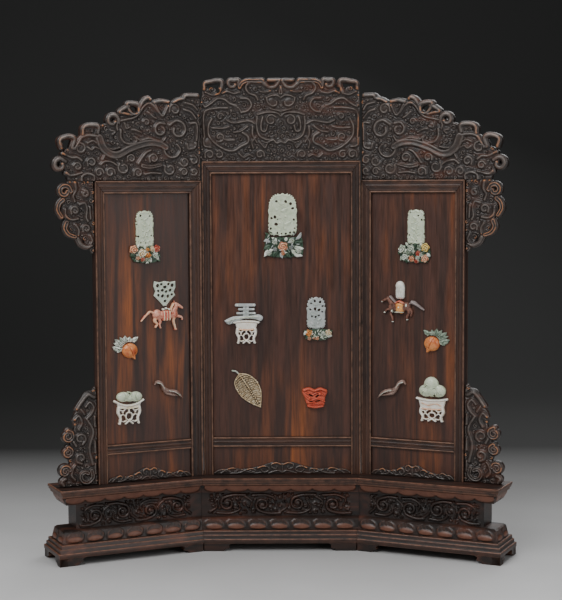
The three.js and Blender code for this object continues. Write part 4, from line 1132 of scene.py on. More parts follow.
def piece(name, panel, shapes, thick, looks, node, cuts=(), sunk=(), step=0.4, tall=4.0, extra=()):
    shell = relief(shapes, FACE - thick, FACE, step, cuts, sunk, tall=tall)
    emit(name + "_" + panel, panel, [shell, *extra], looks, [node + "_" + panel], sharp=50)


def leaf(points, width, crown, look=0):
    """A ridge that is widest in the middle and pointed at both ends."""
    return line(points, width, 0.3, crown, look=look, leafy=True)


# Jade plaques

def plaque_outline(middle, half, top, bottom, lobes):
    """A tablet with a scalloped edge; the higher top and bottom are, the squarer are its corners."""
    points = []
    for turn in np.linspace(0, 2 * math.pi, 96, endpoint=False):
        across, up = math.cos(turn), math.sin(turn)
        corner = 2 / (top if up > 0 else bottom)
        scallop = 1 - 0.04 * (1 + math.cos(lobes * turn))
        points.append((middle[0] + half[0] * scallop * math.copysign(abs(across)**corner, across),
                       middle[1] + half[1] * scallop * math.copysign(abs(up)**corner, up)))
    return points


def carved_plaque(panel, node, look, box, corners, lobes, holes):
    """A thin jade tablet: beaded border, a flowering branch, and pierced holes (x, z, radius)."""
    x0, x1, z0, z1 = box
    cx, cz = (x0 + x1) / 2, (z0 + z1) / 2
    a, b = (x1 - x0) / 2, (z1 - z0) / 2
    rim = plaque_outline((cx, cz), (a, b), *corners, lobes)
    border = [(cx + (x - cx) * 0.86, cz + (z - cz) * 0.92) for x, z in rim[::2]]
    branch = [(cx - 0.3 * a, z0 + 0.16 * b), (cx + 0.12 * a, cz - 0.45 * b), (cx - 0.16 * a, cz),
              (cx + 0.1 * a, cz + 0.5 * b)]
    shapes = [area(rim, 0.7, 1.6),
              line(border + border[:1], 0.7, 0.7, 1.15, per=2),
              line(branch, 0.7, 0.4, 1.25)]
    for i, (x, z) in enumerate(smooth(branch, 3)[1::2]):
        way = 1 if i % 2 else -1
        twig = [(x, z), (x + way * a * 0.2, z + b * 0.02), (x + way * a * 0.42, z + b * 0.13)]
        shapes.append(leaf(twig, a * 0.12 + 0.4, 1.4))
        shapes.append(oval(x - way * a * 0.3, z + b * 0.06, a * 0.11, a * 0.11, 1.5))
    cuts = [oval(x, z, r, r * (1.25 if i % 2 else 0.85), angle=37 * i) for i, (x, z, r) in enumerate(holes)]
    for x in (x0 + 0.6, x1 - 0.6):
        cuts += [oval(x, z0 + share * 2 * b, 1.3, 1.0) for share in (0.3, 0.7, 0.82)]
    piece("carved_" + node, panel, shapes, 2.0, [look], node, cuts, tall=1.4)


carved_plaque("left", "plaque", JADE, (58.6, 82.4, 380.9, 425.9), (4.0, 9.0), 26, [
    (64, 419, 1.2), (76, 419.4, 1.3), (62.4, 395, 1.1), (79, 394, 1.2), (70, 386, 0.9), (76, 386.4, 0.9),
    (60.5, 405, 0.8), (81, 409, 0.8)])
carved_plaque("right", "plaque", JADE, (59.6, 82.6, 382.6, 425.6), (5.0, 9.0), 26, [
    (74.3, 418, 1.3), (78.8, 412.8, 1.2), (62.8, 394, 1.1), (64, 422, 0.8), (72, 387, 0.8)])
carved_plaque("center", "plaque", JADE, (-16.9, 20.2, 392.6, 446.4), (3.0, 7.0), 34, [
    (-6, 436.1, 1.7), (5.6, 435.7, 1.6), (11.7, 432.9, 2.0), (14.2, 427.2, 1.5), (-12.2, 415, 1.6),
    (-7.9, 416.4, 1.7), (-4.6, 413.5, 0.8), (-6.5, 407.4, 1.9), (15.7, 413.1, 1.5), (-13.2, 402.1, 1.2),
    (16.8, 402.3, 1.2), (15.8, 397, 1.5), (11, 396.9, 1.5), (5.5, 395.6, 1.2), (0.2, 395.6, 1.1),
    (-5, 396.6, 1.1)])
carved_plaque("center", "small_plaque", GREY_JADE, (31, 55.4, 275.8, 316.2), (3.2, 6.0), 22, [
    (37, 308, 1.3), (41.5, 311, 1.4), (48.2, 309.6, 1.8), (51.4, 304.6, 1.2), (36, 300.4, 1.5),
    (42, 301, 1.7), (46.8, 299.8, 1.9), (51, 297.4, 1.1), (38, 291.6, 1.3), (42.6, 291, 1.2),
    (46.6, 292.8, 1.4)])


# Flowers under the plaques

def bloom(x, z, radius, back, look, petals, spin, height=3.2):
    """A rose of overlapping petals round a bud."""
    rings, around = 10, 36
    points, edge = [(x, back, z)], [0.0]
    for out in 1 - np.arange(rings) / (rings - 1):
        for turn in np.linspace(0, 2 * math.pi, around, endpoint=False):
            whorl = math.cos(petals * turn + spin + 2.6 * out)
            fold = math.cos(out * 14 + turn * 2 + spin)
            reach = radius * out * (1 + 0.10 * whorl * out)
            cup = math.sqrt(max(1 - out * out, 0)) * 0.7
            if out < 0.95:
                cup += 0.34 * fold * (0.4 + 0.6 * out)
            lift = 0.12 if out == 1 else 0.3 + height * max(0.12, cup + 0.1 * whorl)
            points.append((x + reach * math.cos(turn), back - lift, z + reach * math.sin(turn)))
            # the folds' crests get a painted highlight and their creases painted shade in the stone materials
            edge.append(fold * 1.1 - 0.25)
    faces = hoops(rings, around, 1) + [[0, 1 + (i + 1) % around, 1 + i] for i in range(around)]
    return points, faces, [look] * len(faces), edge, 0.8


def spray(panel, node, palette, ground, leaves, blooms):
    """Leaves (from, to, width, look) and small scattered ones, with blooms (x, z, radius, look) on them."""
    shapes = [area(ground, 0.5, 1.6, rounded=True)]
    sunk = []
    for x0, z0, x1, z1, width, look in leaves:
        middle = ((x0 + x1) / 2 + (z1 - z0) * 0.12, (z0 + z1) / 2 - (x1 - x0) * 0.12)
        spine = [(x0, z0), middle, (x1, z1)]
        shapes.append(leaf(spine, width / 2, 2.6, palette.index(look)))
        sunk.append(line(spine, 0.42, 0.25, 0.7))
    chance = np.random.default_rng(len(leaves) * 7 + len(blooms))
    low, high = np.min(ground, 0) + 2.2, np.max(ground, 0) - 2.2
    for _ in range(34):
        x, z = chance.uniform(low, high)
        turn, length = chance.uniform(0, 2 * math.pi), chance.uniform(3.0, 5.6)
        spine = [(x, z), (x + length * math.cos(turn), z + length * math.sin(turn))]
        shapes.append(leaf(spine, chance.uniform(0.7, 1.3), 3.0, int(chance.choice([0, 0, 0, 1, 1, 2]))))
    tops = [bloom(x, z, radius, FACE - 2.4, palette.index(look), 5 + i % 2, 1.7 * i)
            for i, (x, z, radius, look) in enumerate(blooms)]
    piece("bouquet_" + node, panel, shapes, 1.6, palette, node, sunk=sunk, tall=2.4,
          extra=tops)


spray("left", "plaque_flowers", [LEAF, PALE_LEAF, WHITE, SALMON, CREAM, ORANGE, RED],
      [(53, 364), (60, 361.6), (70, 361.4), (82, 362.4), (88, 368), (88, 377), (82, 380.2), (58, 380.2),
       (52, 374)],
      [(60, 372, 53, 364, 5, PALE_LEAF), (80, 372, 85, 363.4, 5.4, LEAF), (76, 370, 77.6, 362, 4.6, LEAF),
       (66, 369, 63.4, 361.8, 4.4, WHITE), (84, 374, 90, 370.4, 4.4, LEAF), (58, 376, 51.4, 377, 4, WHITE),
       (70, 378, 70, 383.4, 3.6, PALE_LEAF), (64, 377, 64.4, 382, 3.4, LEAF), (80, 380, 78, 384, 3.2, WHITE),
       (56, 368, 50.6, 368.6, 3.6, LEAF)],
      [(85.6, 378.2, 5.2, SALMON), (74.2, 373.4, 5.4, CREAM), (55.2, 378.8, 4.4, RED),
       (61.4, 378.2, 3.6, CREAM), (67, 371, 3.8, ORANGE), (74.2, 366, 3.2, RED),
       (57.6, 371.2, 4.0, WHITE), (68, 365.2, 3.0, PALE_LEAF),
       (80.6, 367.4, 2.8, SALMON), (67.8, 377.6, 2.6, ORANGE)])
spray("right", "plaque_flowers", [LEAF, PALE_LEAF, WHITE, YELLOW, RED, SALMON],
      [(51, 363), (60, 360.4), (72, 360.6), (84, 360.8), (89, 366), (89, 377), (84, 381.6), (57, 381.6),
       (50, 376)],
      [(58, 369, 51, 362.6, 5, PALE_LEAF), (80, 368, 86, 360.6, 5, LEAF), (62, 364, 59, 359.6, 4.6, LEAF),
       (74, 366, 74, 359.8, 4.4, PALE_LEAF), (86, 372, 90, 368, 4.2, WHITE), (70, 379, 70, 384.4, 3.6, LEAF),
       (76, 379, 78, 384.6, 3.4, WHITE), (60, 380, 58, 384.6, 3.4, PALE_LEAF), (52, 374, 48.6, 370, 4, LEAF)],
      [(53.6, 377, 4.8, WHITE), (65, 377.4, 4.6, WHITE), (83.4, 378.8, 5.4, YELLOW), (74.8, 371.4, 3.6, RED),
       (56.6, 366.6, 4.6, WHITE), (66, 364.8, 3.8, SALMON), (82.8, 365.2, 4.8, SALMON),
       (72.4, 361.8, 2.6, RED), (61.4, 372.6, 3.2, PALE_LEAF), (76, 378.6, 3.2, PALE_LEAF),
       (78.4, 370, 3.0, WHITE), (74, 366.4, 2.8, WHITE)])
spray("center", "plaque_flowers", [LEAF, GREY_JADE, WHITE, SALMON],
      [(-21, 368), (-10, 366.6), (2, 365.6), (14, 366.6), (26, 368), (27, 384), (23.6, 395), (20.9, 400),
       (20.6, 391.8), (-17.2, 391.8), (-17.8, 398), (-20.6, 390)],
      [(-10, 376, -21.6, 367, 6.4, WHITE), (-12, 380, -22, 376, 6, LEAF),
       (-14, 385, -22, 386.4, 5.4, GREY_JADE), (-15, 388, -20.4, 397, 4.4, LEAF),
       (12, 376, 26, 367.6, 6.6, WHITE), (15, 380, 27.6, 377, 6, WHITE),
       (16, 385, 27, 386, 5.4, LEAF), (18, 388, 24.6, 397, 4.6, GREY_JADE), (-4, 374, -10, 366, 5.6, LEAF),
       (6, 374, 12, 366, 5.6, LEAF), (1, 373, 1, 364.8, 5, GREY_JADE), (-6, 384, -12, 390.6, 5, WHITE),
       (8, 384, 15, 390.4, 5, GREY_JADE), (-1, 386, -3, 391.4, 4.4, LEAF), (4, 386, 6, 391.2, 4.4, WHITE),
       (-14, 373, -19.6, 371.6, 4.4, GREY_JADE), (18, 372, 23, 371, 4.4, LEAF)],
      [(2, 379.4, 6.0, SALMON), (-8.4, 385.4, 3.6, WHITE), (13, 386.6, 3.6, WHITE),
       (-15.6, 371.4, 3.4, WHITE), (21.6, 374, 3.6, WHITE), (-8, 376, 2.8, GREY_JADE),
       (12, 378, 2.8, GREY_JADE), (2, 371, 2.8, SALMON)])
spray("center", "small_plaque_flowers", [LEAF, PALE_LEAF, WHITE, ORANGE, CREAM, SALMON],
      [(29, 265.4), (40, 261.6), (54, 261.8), (61, 267.4), (61, 274.6), (30, 274.6)],
      [(38, 268, 30, 263.4, 5, LEAF), (46, 270, 40, 262.6, 5, LEAF), (50, 270, 54, 262.4, 5, PALE_LEAF),
       (54, 270, 63, 267, 5, WHITE), (42, 272, 46, 264.6, 4.6, LEAF), (56, 272, 63.4, 273.6, 4.4, LEAF),
       (33, 272, 27.8, 268, 4.4, WHITE), (50, 273, 51, 268, 4, LEAF)],
      [(34.4, 270.4, 4.6, ORANGE), (58.6, 270.8, 4.2, CREAM), (34.6, 264, 2.6, SALMON),
       (44.6, 264.2, 2.6, SALMON), (40.6, 264.4, 2.0, SALMON), (52, 270, 3.0, WHITE)])


# Pierced pendant

PENDANT_HOLES = [(35.6, 333, 2.0), (40.6, 334.4, 1.5), (45.2, 331, 2.0), (49.8, 334.4, 1.5), (54.8, 333, 2.0),
                 (38.2, 327, 1.8), (43.6, 325.2, 1.5), (48.6, 327, 1.8), (54, 326.4, 1.5), (41.4, 319.6, 1.9),
                 (48.4, 320, 1.9), (45.2, 313.6, 1.6), (36.2, 321.4, 1.5), (53.8, 321, 1.5)]
PENDANT = [(31.4, 320.5), (33.6, 325), (31, 330), (31.2, 338), (38, 337), (45.4, 338.4), (52, 337),
           (58.8, 338.4), (59.8, 332), (57.4, 326), (59.6, 320.5), (52, 313), (47.2, 307.4),
           (43.4, 307.8), (38.4, 314)]
shapes = [area(PENDANT, 0.8, 1.4)]
for x, z, _ in PENDANT_HOLES:
    shapes.append(line([(x - 2, z - 1.6), (x - 2.4, z + 1.2), (x, z + 2.4), (x + 2.4, z + 1)], 0.8, 0.6, 1.5))
cuts = [oval(x, z, r, r * 1.2, angle=40 * i) for i, (x, z, r) in enumerate(PENDANT_HOLES)]
piece("pierced_pendant", "left", shapes, 1.8, [CELADON], "pendant", cuts, step=0.36, tall=1.6)


# Horses, each with a saddle cloth (left, right, foot, top)

def horse(panel, name, body, cloth, trims, looks):
    x0, x1, z0, z1 = cloth
    outline = [(x0, z0), (x1, z0), (x1 + 0.3, z1), (x0 - 0.3, z1)]
    shapes = body + [area(outline, 6.3, 4.5, 2, rounded=True)] + trims
    piece(name, panel, shapes, 0.9, looks, "horse", step=0.36, tall=5.0)


trotting = [
    # trunk, chest and haunch
    oval(45, 295.8, 13.5, 5.6, 5.3), oval(33.6, 297, 5.4, 6.2, 5.2), oval(55.6, 297, 6.2, 6.4, 5.4),
    # neck, head, ear and mane
    line([(34.6, 299), (32, 304), (30.6, 308)], 4.3, 2.8, 4.8),
    line([(31.4, 309), (27.2, 307.4), (23, 304.6)], 2.8, 1.6, 4.2),
    line([(32.6, 310.4), (33.4, 313.4)], 0.9, 0.5, 3),
    line([(34.4, 310), (37.2, 305), (38.4, 300)], 1.4, 1.1, 5.0, look=1),
    # forelegs and a hoof
    line([(33, 294), (34.4, 288.6), (32.8, 283), (31.8, 278.4)], 2.4, 1.1, 3.8, look=1),
    line([(30.6, 278), (32.2, 278)], 1.3, 1.3, 3.4),
    line([(32, 295), (27, 294), (23.6, 292.8), (22.8, 290)], 2.2, 1.1, 3.6),
    # hind legs
    line([(56.6, 294.4), (58.8, 289.6), (56, 285.4), (58.2, 281.4)], 2.8, 1.1, 3.8, look=1),
    line([(53.4, 293), (51.6, 288.4), (52.8, 284.6), (51.4, 280.6)], 2.5, 1.1, 3.4),
    # tail
    line([(60, 299), (65, 300.8), (69.6, 297), (76.4, 289.8)], 1.5, 0.9, 2.6, look=1),
    line([(66, 299), (72, 295.6), (75.4, 291.8)], 1.3, 0.7, 2.2),
]
stripes = [line([(x, 290), (x, 300.6)], 0.7, 0.7, 6.9, look=3) for x in (40.2, 43.8, 47.4)]
beads = [oval(x, z, 1.7, 1.5, 5.4, look=4) for x, z in ((40.4, 303), (44, 304.4), (47.8, 303.2))]
horse("left", "trotting_horse", trotting, (38.4, 49.2, 289.6, 301.2), stripes + beads,
      [PINK, SALMON, RED, CREAM, WHITE])

galloping = [
    # trunk, chest and haunch
    oval(49.5, 303.6, 12.5, 5.3, 5.2), oval(40, 304, 5, 5.6, 5.0), oval(59, 305.4, 5.4, 5.6, 5.2),
    # neck, head, ear and mane
    line([(41, 306.6), (38, 311), (35.6, 314)], 4.0, 2.6, 4.6),
    line([(35.2, 315), (31, 313.2), (27, 311.2)], 2.5, 1.3, 4.0),
    line([(35.8, 316.4), (36.6, 319.4)], 0.8, 0.5, 3),
    line([(38, 317), (42.4, 312.4), (46, 309)], 1.7, 1.2, 5.0, look=1),
    # forelegs
    line([(40, 301.4), (38.6, 295.8), (40.6, 291), (41, 286.4)], 2.2, 1.0, 3.6),
    line([(38.6, 301.6), (33.6, 300.8), (30.8, 298.2)], 2.0, 1.0, 3.4),
    # hind legs
    line([(61, 302), (62.6, 297.2), (60, 293), (60.2, 289.2)], 2.5, 1.0, 3.6),
    line([(62, 303.6), (65.6, 299), (64.8, 293.6)], 2.2, 1.0, 3.2),
    # tail
    line([(62.6, 308.4), (68, 311.6), (74, 307.8), (81.4, 301.8)], 1.3, 1.2, 2.4, look=1),
    line([(66, 310.6), (73, 307), (79, 302.6)], 2.4, 0.8, 2.8, look=1),
]
saddle = [
    line([(45.2, 298), (55, 298)], 0.8, 0.8, 6.9, look=5),
    # the rosette, then white ovals on the chest and the haunch, which are painted highlights
    oval(50.2, 304, 2.5, 2.7, 7.0, look=3), oval(40.6, 299.4, 1.5, 2.2, 5.9, look=4),
    oval(59.6, 306.4, 1.7, 2.8, 6.2, look=4),
    # white hooves and muzzle
    oval(30.4, 297.4, 1.3, 1.1, 4.4, look=4), oval(41, 286, 1.2, 1.0, 4.2, look=4),
    oval(60.2, 289, 1.2, 1.0, 4.2, look=4), oval(27.2, 310.8, 1.2, 0.9, 4.4, look=4),
    line([(45.4, 309.4), (50, 311.6), (55, 309.4)], 1.2, 1.2, 6.4, look=6),
]
horse("right", "galloping_horse", galloping, (45.4, 55, 297, 309.6), saddle,
      [DARK_STONE, MANE, ORANGE, CREAM, WHITE, PALE_LEAF, RED])


# Robed figure behind the right horse

FIGURE_X = 50.2
shapes = [area([(45.2, 332), (55.2, 332), (56.2, 322), (54.8, 315), (46, 315), (44.6, 322)], 3.9, 4.8,
               rounded=True),
          oval(FIGURE_X, 330.6, 5.6, 6.1, 4.8)]
for side in (-1, 0.2, 1):
    fold = [(FIGURE_X + side * 1.2, 327), (FIGURE_X + side * 3, 322), (FIGURE_X + side * 2.4, 316.4)]
    shapes.append(line(fold, 1.1, 0.8, 4.6))
piece("robed_figure", "right", shapes, 1.2, [WHITE_JADE], "jade_figure", step=0.34)


# Peaches with their leaves; the leaves are given from the middle of the peach

PEACH_LEAVES = [(10.6, 1.5, 22.5, 5, 7), (8.8, 7.2, 19, 14, 6.4), (4.2, 10.4, 6.4, 18, 6.2),
                (-4, 10.6, -10, 16, 5.8), (9.8, 5, 15, 9.6, 5), (0.6, 11.2, 0, 16.6, 5),
                (10.2, 3, 17, -1.4, 5), (6, 9.6, 13, 16.6, 5),
                (9, 7, 21, 9.6, 4.6), (2, 11, -4.6, 14, 4.4), (10.6, 0, 16, 2, 4.4)]


def peach(panel, x, z, leaf_look):
    fruit = [oval(x + 0.4, z - 0.3, 10.2, 9.2, 6.6),
             line([(x - 1, z - 2), (x - 3.6, z - 7), (x - 5, z - 10.6)], 5.6, 0.9, 5.2)]
    cleft = line([(x + 4, z + 7.6), (x + 0.6, z + 1), (x - 4, z - 8.6)], 0.7, 0.4, 0.9)
    piece("ripe_peach", panel, fruit, 0.8, [PEACH], "peach", sunk=[cleft], step=0.34)
    twig = [(x + 11.3 * math.cos(t), z + 11.3 * math.sin(t)) for t in np.linspace(0.1, 2.1, 9)]
    leaves, veins = [line(twig, 0.8, 0.8, 0.6)], []
    for x0, z0, x1, z1, width in PEACH_LEAVES:
        middle = (x + (x0 + x1) / 2 + 0.6, z + (z0 + z1) / 2 - 0.4)
        spine = [(x + x0, z + z0), middle, (x + x1, z + z1)]
        leaves.append(leaf(spine, width / 2, 1.7))
        veins.append(line(spine, 0.4, 0.25, 0.7))
    piece("fruit_leaves", panel, leaves, 1.0, [leaf_look], "peach_leaves", sunk=veins,
          step=0.36,
          tall=1.6)


peach("left", 91.2, 254.4, SILVER)
peach("right", 91.8, 260.4, ENAMEL)


# Pearly pods

def pod(panel, dx, dz):
    def along(*points):
        return [(x + dx, z + dz) for x, z in points]

    shapes = [leaf(along((60.6, 210.2), (56.4, 213.6), (51.6, 211.4), (47.4, 205.4), (39, 201.8)), 2.3, 4.2),
              leaf(along((51, 208), (46.6, 202.6), (38, 200.6), (30, 198.4), (24, 191.4)), 2.8, 5.0),
              leaf(along((49.6, 205.4), (45, 199.2), (36, 196.2), (28.4, 194.6)), 2.1, 4.2),
              # the two thin white lines along the pods are painted highlights
              line(along((57, 212.4), (52, 210.6), (48, 205)), 0.7, 0.5, 4.9, look=1),
              line(along((42, 201.6), (34, 199.6), (27.4, 195)), 0.7, 0.5, 5.4, look=1)]
    folds = [line(along((x, z), (x + 2.6, z + 4)), 0.5, 0.4, 0.8)
             for x, z in ((33, 195), (37, 197.4), (41.6, 200), (46, 207))]
    piece("pearly_pod", panel, shapes, 1.0, [PEARL, WHITE], "pod", sunk=folds, step=0.34)


pod("left", 0, 0)
pod("right", -2, -2)


# Jade fruit and rock on the stands

shapes = [oval(85, 196.8, 8.8, 6.2, 5.4), oval(100.6, 197.2, 9.0, 6.2, 5.4), oval(92.8, 195.4, 6.4, 4.6, 4.8),
          line([(92.8, 197), (91, 201.6), (95, 203)], 1.2, 0.8, 4.6)]
clefts = [line([(84, 202), (86, 197), (83.6, 192.6)], 0.8, 0.5, 1.0),
          line([(100, 202), (98.4, 197), (101, 193)], 0.8, 0.5, 1.0)]
piece("paired_fruit", "left", shapes, 1.0, [JADE], "jade_fruit", sunk=clefts, step=0.34)

shapes = [oval(91.6, 209, 9.6, 10.0, 5.8), oval(85, 201.6, 9.4, 7.6, 5.4), oval(100.8, 201.8, 9.6, 7.8, 5.4),
          oval(93, 202.6, 9.6, 8.4, 6.0)]
for x, z in ((84, 206.6), (93.6, 203.6), (79.6, 198.4), (98.6, 198)):
    shapes.append(line([(x, z), (x + 3, z + 3.4), (x + 6.6, z + 1)], 1.3, 0.9, 6.4))
piece("jade_rock", "right", shapes, 1.0, [JADE], "boulder", [oval(96.4, 196.2, 1.6, 1.2)],
      step=0.34)


# Pierced stands

def open_stand(panel, x0, x1, rim, sag, low, body, looks):
    """A hollowed basin on curled legs, with a ring between them; body is the legs' share of the height."""
    middle, half = (x0 + x1) / 2, (x1 - x0) / 2

    def at(across, up):
        return middle + across * half, low + up * (rim - low) * body / 0.7

    lip = [(x0 + (x1 - x0) * t, rim - 1.2 - sag * 4 * t * (1 - t)) for t in np.linspace(0.02, 0.98, 7)]
    basin = [(x0 + half * 0.12, rim - 2)] + [(x, z - 0.6) for x, z in lip[1:-1]]
    basin += [(x1 - half * 0.12, rim - 2), at(0.76, 0.76), at(0.5, 0.66), at(-0.5, 0.66), at(-0.76, 0.76)]
    shapes = [line(lip, 1.5, 1.5, 3.6),
              area(basin, 2.4, 2.2),
              line([at(-0.66, 0.7), at(0, 0.66), at(0.66, 0.7)], 1.1, 1.1, 3.2, look=1)]
    for s in (-1, 1):
        leg = [at(s * 0.68, 0.7), at(s * 0.72, 0.5), at(s * 0.58, 0.27), at(s * 0.64, 0.05)]
        shapes += [line(leg, 2.2, 1.4, 3.4),
                   oval(*at(s * 0.64, 0.05), 1.9, 1.3, 3.2),
                   line([at(s * 0.6, 0.34), at(s * 0.42, 0.42), at(s * 0.24, 0.34)], 0.8, 0.7, 2.4),
                   line([at(s * 0.66, 0.62), at(s * 0.4, 0.56), at(s * 0.24, 0.64)], 1.0, 0.8, 2.6),
                   line([at(s * 0.64, 0.2), at(s * 0.4, 0.12), at(s * 0.2, 0.16)], 0.9, 0.8, 2.4),
                   oval(*at(s * 0.42, 0.5), 1.3, 1.3, 2.8)]
    if body < 0.6:
        shapes.append(line([at(-0.64, 1), at(-0.2, 0.88), at(0.24, 0.98), at(0.62, 0.88)], 0.7, 0.7, 3.4,
                           look=1))
    ring = [at(0.22 * math.cos(t), 0.34 + 0.16 * math.sin(t)) for t in np.linspace(0, 2 * math.pi, 13)]
    shapes += [line(ring, 0.9, 0.9, 2.6, per=3),
               line([at(0, 0.66), at(0, 0.48)], 1.2, 0.9, 2.8),
               line([at(-0.24, 0.04), at(0, 0.14), at(0.24, 0.04)], 1.2, 1.2, 3.0)]
    piece("open_stand", panel, shapes, 1.2, looks, "stand", step=0.36, tall=3.4)


open_stand("left", 74.5, 113, 194.2, 6.8, 162.8, 0.68, [IVORY, CREAM])
open_stand("right", 72.4, 113, 193.2, 2.4, 163.2, 0.54, [IVORY, SALMON])
open_stand("center", -60.6, -28.4, 285.4, -1.6, 257.4, 0.66, [IVORY, SALMON])


# Stepped jade mount on the centre stand

shapes = [line([(-57, 306.2), (-34.4, 306.2)], 1.9, 1.9, 1.4, "flat"),
          line([(-53.4, 301), (-35.2, 301)], 1.5, 1.5, 1.4, "flat"),
          line([(-55.6, 296), (-33.8, 296)], 1.5, 1.5, 1.4, "flat"),
          area([(-48.6, 289), (-41.2, 289), (-41.2, 307.4), (-48.6, 307.4)], 1.0, 1.2, 2)]
for x, z in ((-35.4, 306.2), (-36, 301), (-35, 296), (-56, 306.2)):
    shapes.append(oval(x, z, 2.2, 1.5, 1.7, look=1))
tray = [(-72.2, 286.6), (-63, 291.2), (-53, 292.8), (-41, 293), (-30, 294.4), (-24.6, 292.4), (-23.8, 288.8),
        (-27, 286), (-33, 288.2), (-45, 289.2), (-55, 286.4), (-61, 283.4), (-67.5, 282)]
shapes += [area(tray, 2.0, 3.0, rounded=True),
           line([(-69, 285.6), (-58, 289), (-44, 291), (-30, 291.6)], 0.7, 0.7, 2.5, look=3)]
grooves = [oval(-45, 303.6, 1.4, 1.0, 0.9),
           line([(-66, 283), (-62, 287.6)], 0.5, 0.4, 0.7),
           line([(-62, 284), (-58, 289)], 0.5, 0.4, 0.7)]
piece("stepped_mount", "center", shapes, 2.6, [GREY_JADE, WHITE_JADE, GREY_JADE, JADE],
      "stepped_jade",
      sunk=grooves, step=0.34, tall=2.0)


# Gilt leaf: a beaded rib with wire veins inside a border

LEAF_STALK, LEAF_TIP = (-54.3, 220.4), (-26.4, 175.8)
border = np.vstack([
    smooth([LEAF_STALK, (-60, 211), (-59.6, 203), (-53, 191.6), (-42, 183), LEAF_TIP], 4),
    smooth([LEAF_TIP, (-25.4, 189), (-26.6, 200.4), (-33, 212), (-43, 219), LEAF_STALK], 4)[1:]])
middle = (-43, 200)
rim = [(middle[0] + (x - middle[0]) * 0.94, middle[1] + (z - middle[1]) * 0.95) for x, z in border]
shapes = [area(border.tolist()[:-1], 0.3, 1.0), line(rim, 0.8, 0.8, 1.6, per=1)]
rib = [(-54.6, 219.4), (-47, 209), (-40, 198), (-29, 179.6)]
shapes += [oval(x, z, 1.15, 1.15, 2.4) for x, z in smooth(rib, 7)]
inner = smooth(rib, 4)
for k in range(1, len(inner) - 1):
    x, z = inner[k]
    for dx, dz, reach in ((-1, -0.35, 11), (1, 0.62, 13)):
        span = reach * math.sin(math.pi * (k + 0.6) / len(inner))
        vein = [(x, z), (x + dx * span * 0.5, z + dz * span * 0.5 - 1.2),
                (x + dx * span, z + dz * span - 3.4)]
        shapes.append(line(vein, 0.42, 0.34, 1.3))
        shapes += [oval(a, b, 0.75, 0.75, 1.5) for a, b in smooth(vein, 4)[2::2]]
shapes.append(line([(-62.4, 223.2), (-58, 222.4), (-54.6, 219.4)], 1.3, 1.0, 2.2, look=1))
piece("filigree_leaf", "center", shapes, 0.8, [GILT, SILVER], "leaf", step=0.34, tall=1.8)


# Coral basket

shapes = [area([(32.6, 176.6), (51, 176.6), (54.4, 189), (55.4, 198.6), (27, 198.6), (28, 189)], 2.0, 3.0,
               rounded=True),
          line([(27.4, 198.4), (34, 200), (41, 197.6), (48, 199.8), (55, 197.4)], 1.9, 1.9, 4.4),
          line([(33, 178.2), (42, 176.8), (51, 178.2)], 1.7, 1.7, 3.8),
          line([(29.4, 190), (36, 185.6), (44, 187.6), (53.4, 184)], 1.3, 1.1, 3.8),
          line([(30, 195.4), (37, 192.4), (45, 195.6), (53, 191.4)], 1.3, 1.1, 3.8),
          line([(31.4, 182.6), (40, 182), (50.6, 180.6)], 1.1, 1.0, 3.4),
          oval(47.4, 193.4, 2.8, 2.0, 4.4), oval(34.6, 188.4, 2.4, 1.8, 4.2)]
cuts = [oval(36.2, 192, 3.4, 1.2, angle=-28), oval(44.4, 191, 2.8, 1.2, angle=34),
        oval(45, 184.6, 4.0, 0.9, angle=8), oval(36.4, 184.4, 2.4, 0.9, angle=-10)]
piece("coral_bowl", "center", shapes, 1.6, [CORAL], "coral_basket", cuts, step=0.36)


# Stage, light and camera

MIDDLE = np.array((0, 0, 0.3))


def softbox(name, place, size, power):
    """A rectangular lamp that looks at the middle of the screen."""
    lamp = bpy.data.lights.new(name, "AREA")
    lamp.shape = "RECTANGLE"
    lamp.size, lamp.size_y = size
    lamp.energy = power
    thing = bpy.data.objects.new(name, lamp)
    thing.location = place
    back = np.array(place) - MIDDLE
    tilt = math.atan2(math.hypot(back[0], back[1]), back[2])
    thing.rotation_euler = (tilt, 0, math.atan2(back[0], -back[1]))
    bpy.context.scene.collection.objects.link(thing)


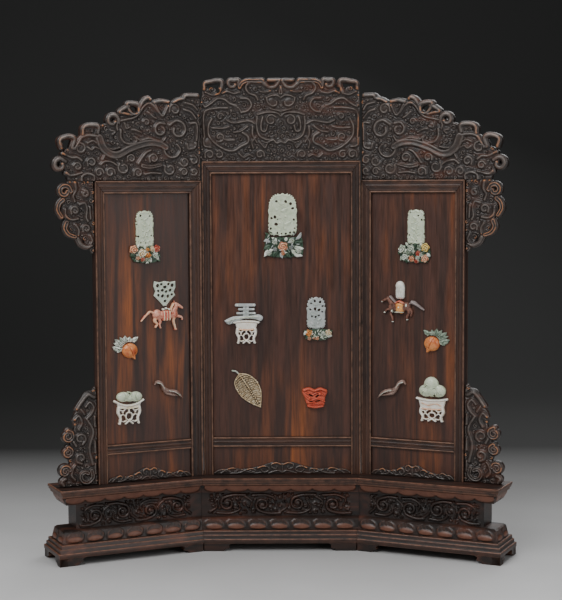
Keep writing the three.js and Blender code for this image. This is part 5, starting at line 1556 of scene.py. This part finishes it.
def backdrop():
    """A pale floor that curves up into a backdrop far behind, with painted shade darkening it towards the
    back.
    """
    width = 4.0
    near, flat = -3.0, 1.3
    radius, high = 0.9, 2.2
    turns = np.linspace(0, math.pi / 2, 13)
    arc = [(flat + radius * math.sin(a), radius - radius * math.cos(a)) for a in turns]
    side = [(near, 0.0)] + arc + [(flat + radius, high)]
    points = [(x, y, z) for y, z in side for x in (-width, width)]
    faces = [(2 * i, 2 * i + 1, 2 * i + 3, 2 * i + 2) for i in range(len(side) - 1)]
    mesh = bpy.data.meshes.new("floor")
    mesh.from_pydata(points, [], faces)
    mesh.shade_smooth()
    look = Look("floor_paper")
    space = look.where()
    grain = look.noise(space, 700, 3)
    away = look.add("SeparateXYZ", Vector=look.add("TexCoord").outputs["Object"]).outputs["Y"]
    tone = look.mix(look.span(look.noise(space, 6, 2), 0.3, 0.7), (0.55, 0.55, 0.55), (0.60, 0.60, 0.60))
    # painted shade: the floor and backdrop darken to near black from 0.25 m in front of the middle to 0.75 m
    # behind it
    tone = look.mix(look.span(away, -0.25, 0.75), tone, (0.006, 0.0065, 0.006))
    mesh.materials.append(look.finish(tone, 0.75, grain, 0.05, 0.0001))
    floor = bpy.data.objects.new("floor", mesh)
    bpy.context.scene.collection.objects.link(floor)


backdrop()
softbox("key", (-0.9, -1.5, 1.9), (1.6, 1.2), 38)
softbox("fill", (1.5, -1.6, 1.0), (1.2, 1.4), 12)
softbox("rear", (0.7, 1.5, 1.4), (1.2, 1.2), 12)
softbox("top", (0.0, 0.1, 1.9), (1.6, 0.9), 16)
world = bpy.data.worlds.new("studio")
world.use_nodes = True
sky = world.node_tree.nodes["Background"]
sky.inputs["Color"].default_value = (0.5, 0.5, 0.5, 1)
sky.inputs["Strength"].default_value = 0.35
bpy.context.scene.world = world

# the camera, as fitted to the photograph's straight lines
pitch = math.radians(4.392)
yaw = math.radians(-0.132)
roll = math.radians(-0.255)
camera = bpy.data.cameras.new("camera")
camera.lens = 90.19
camera.sensor_fit = "AUTO"
camera.sensor_width = 36
camera.clip_start = 0.05
camera.clip_end = 50
viewer = bpy.data.objects.new("camera", camera)
viewer.location = (0.00654, -1.8433, 0.45683)
aim = Euler((math.pi / 2 - pitch, 0, -yaw), "XYZ").to_matrix()
viewer.rotation_euler = (aim @ Euler((0, 0, roll), "XYZ").to_matrix()).to_euler()
bpy.context.scene.collection.objects.link(viewer)
bpy.context.scene.camera = viewer
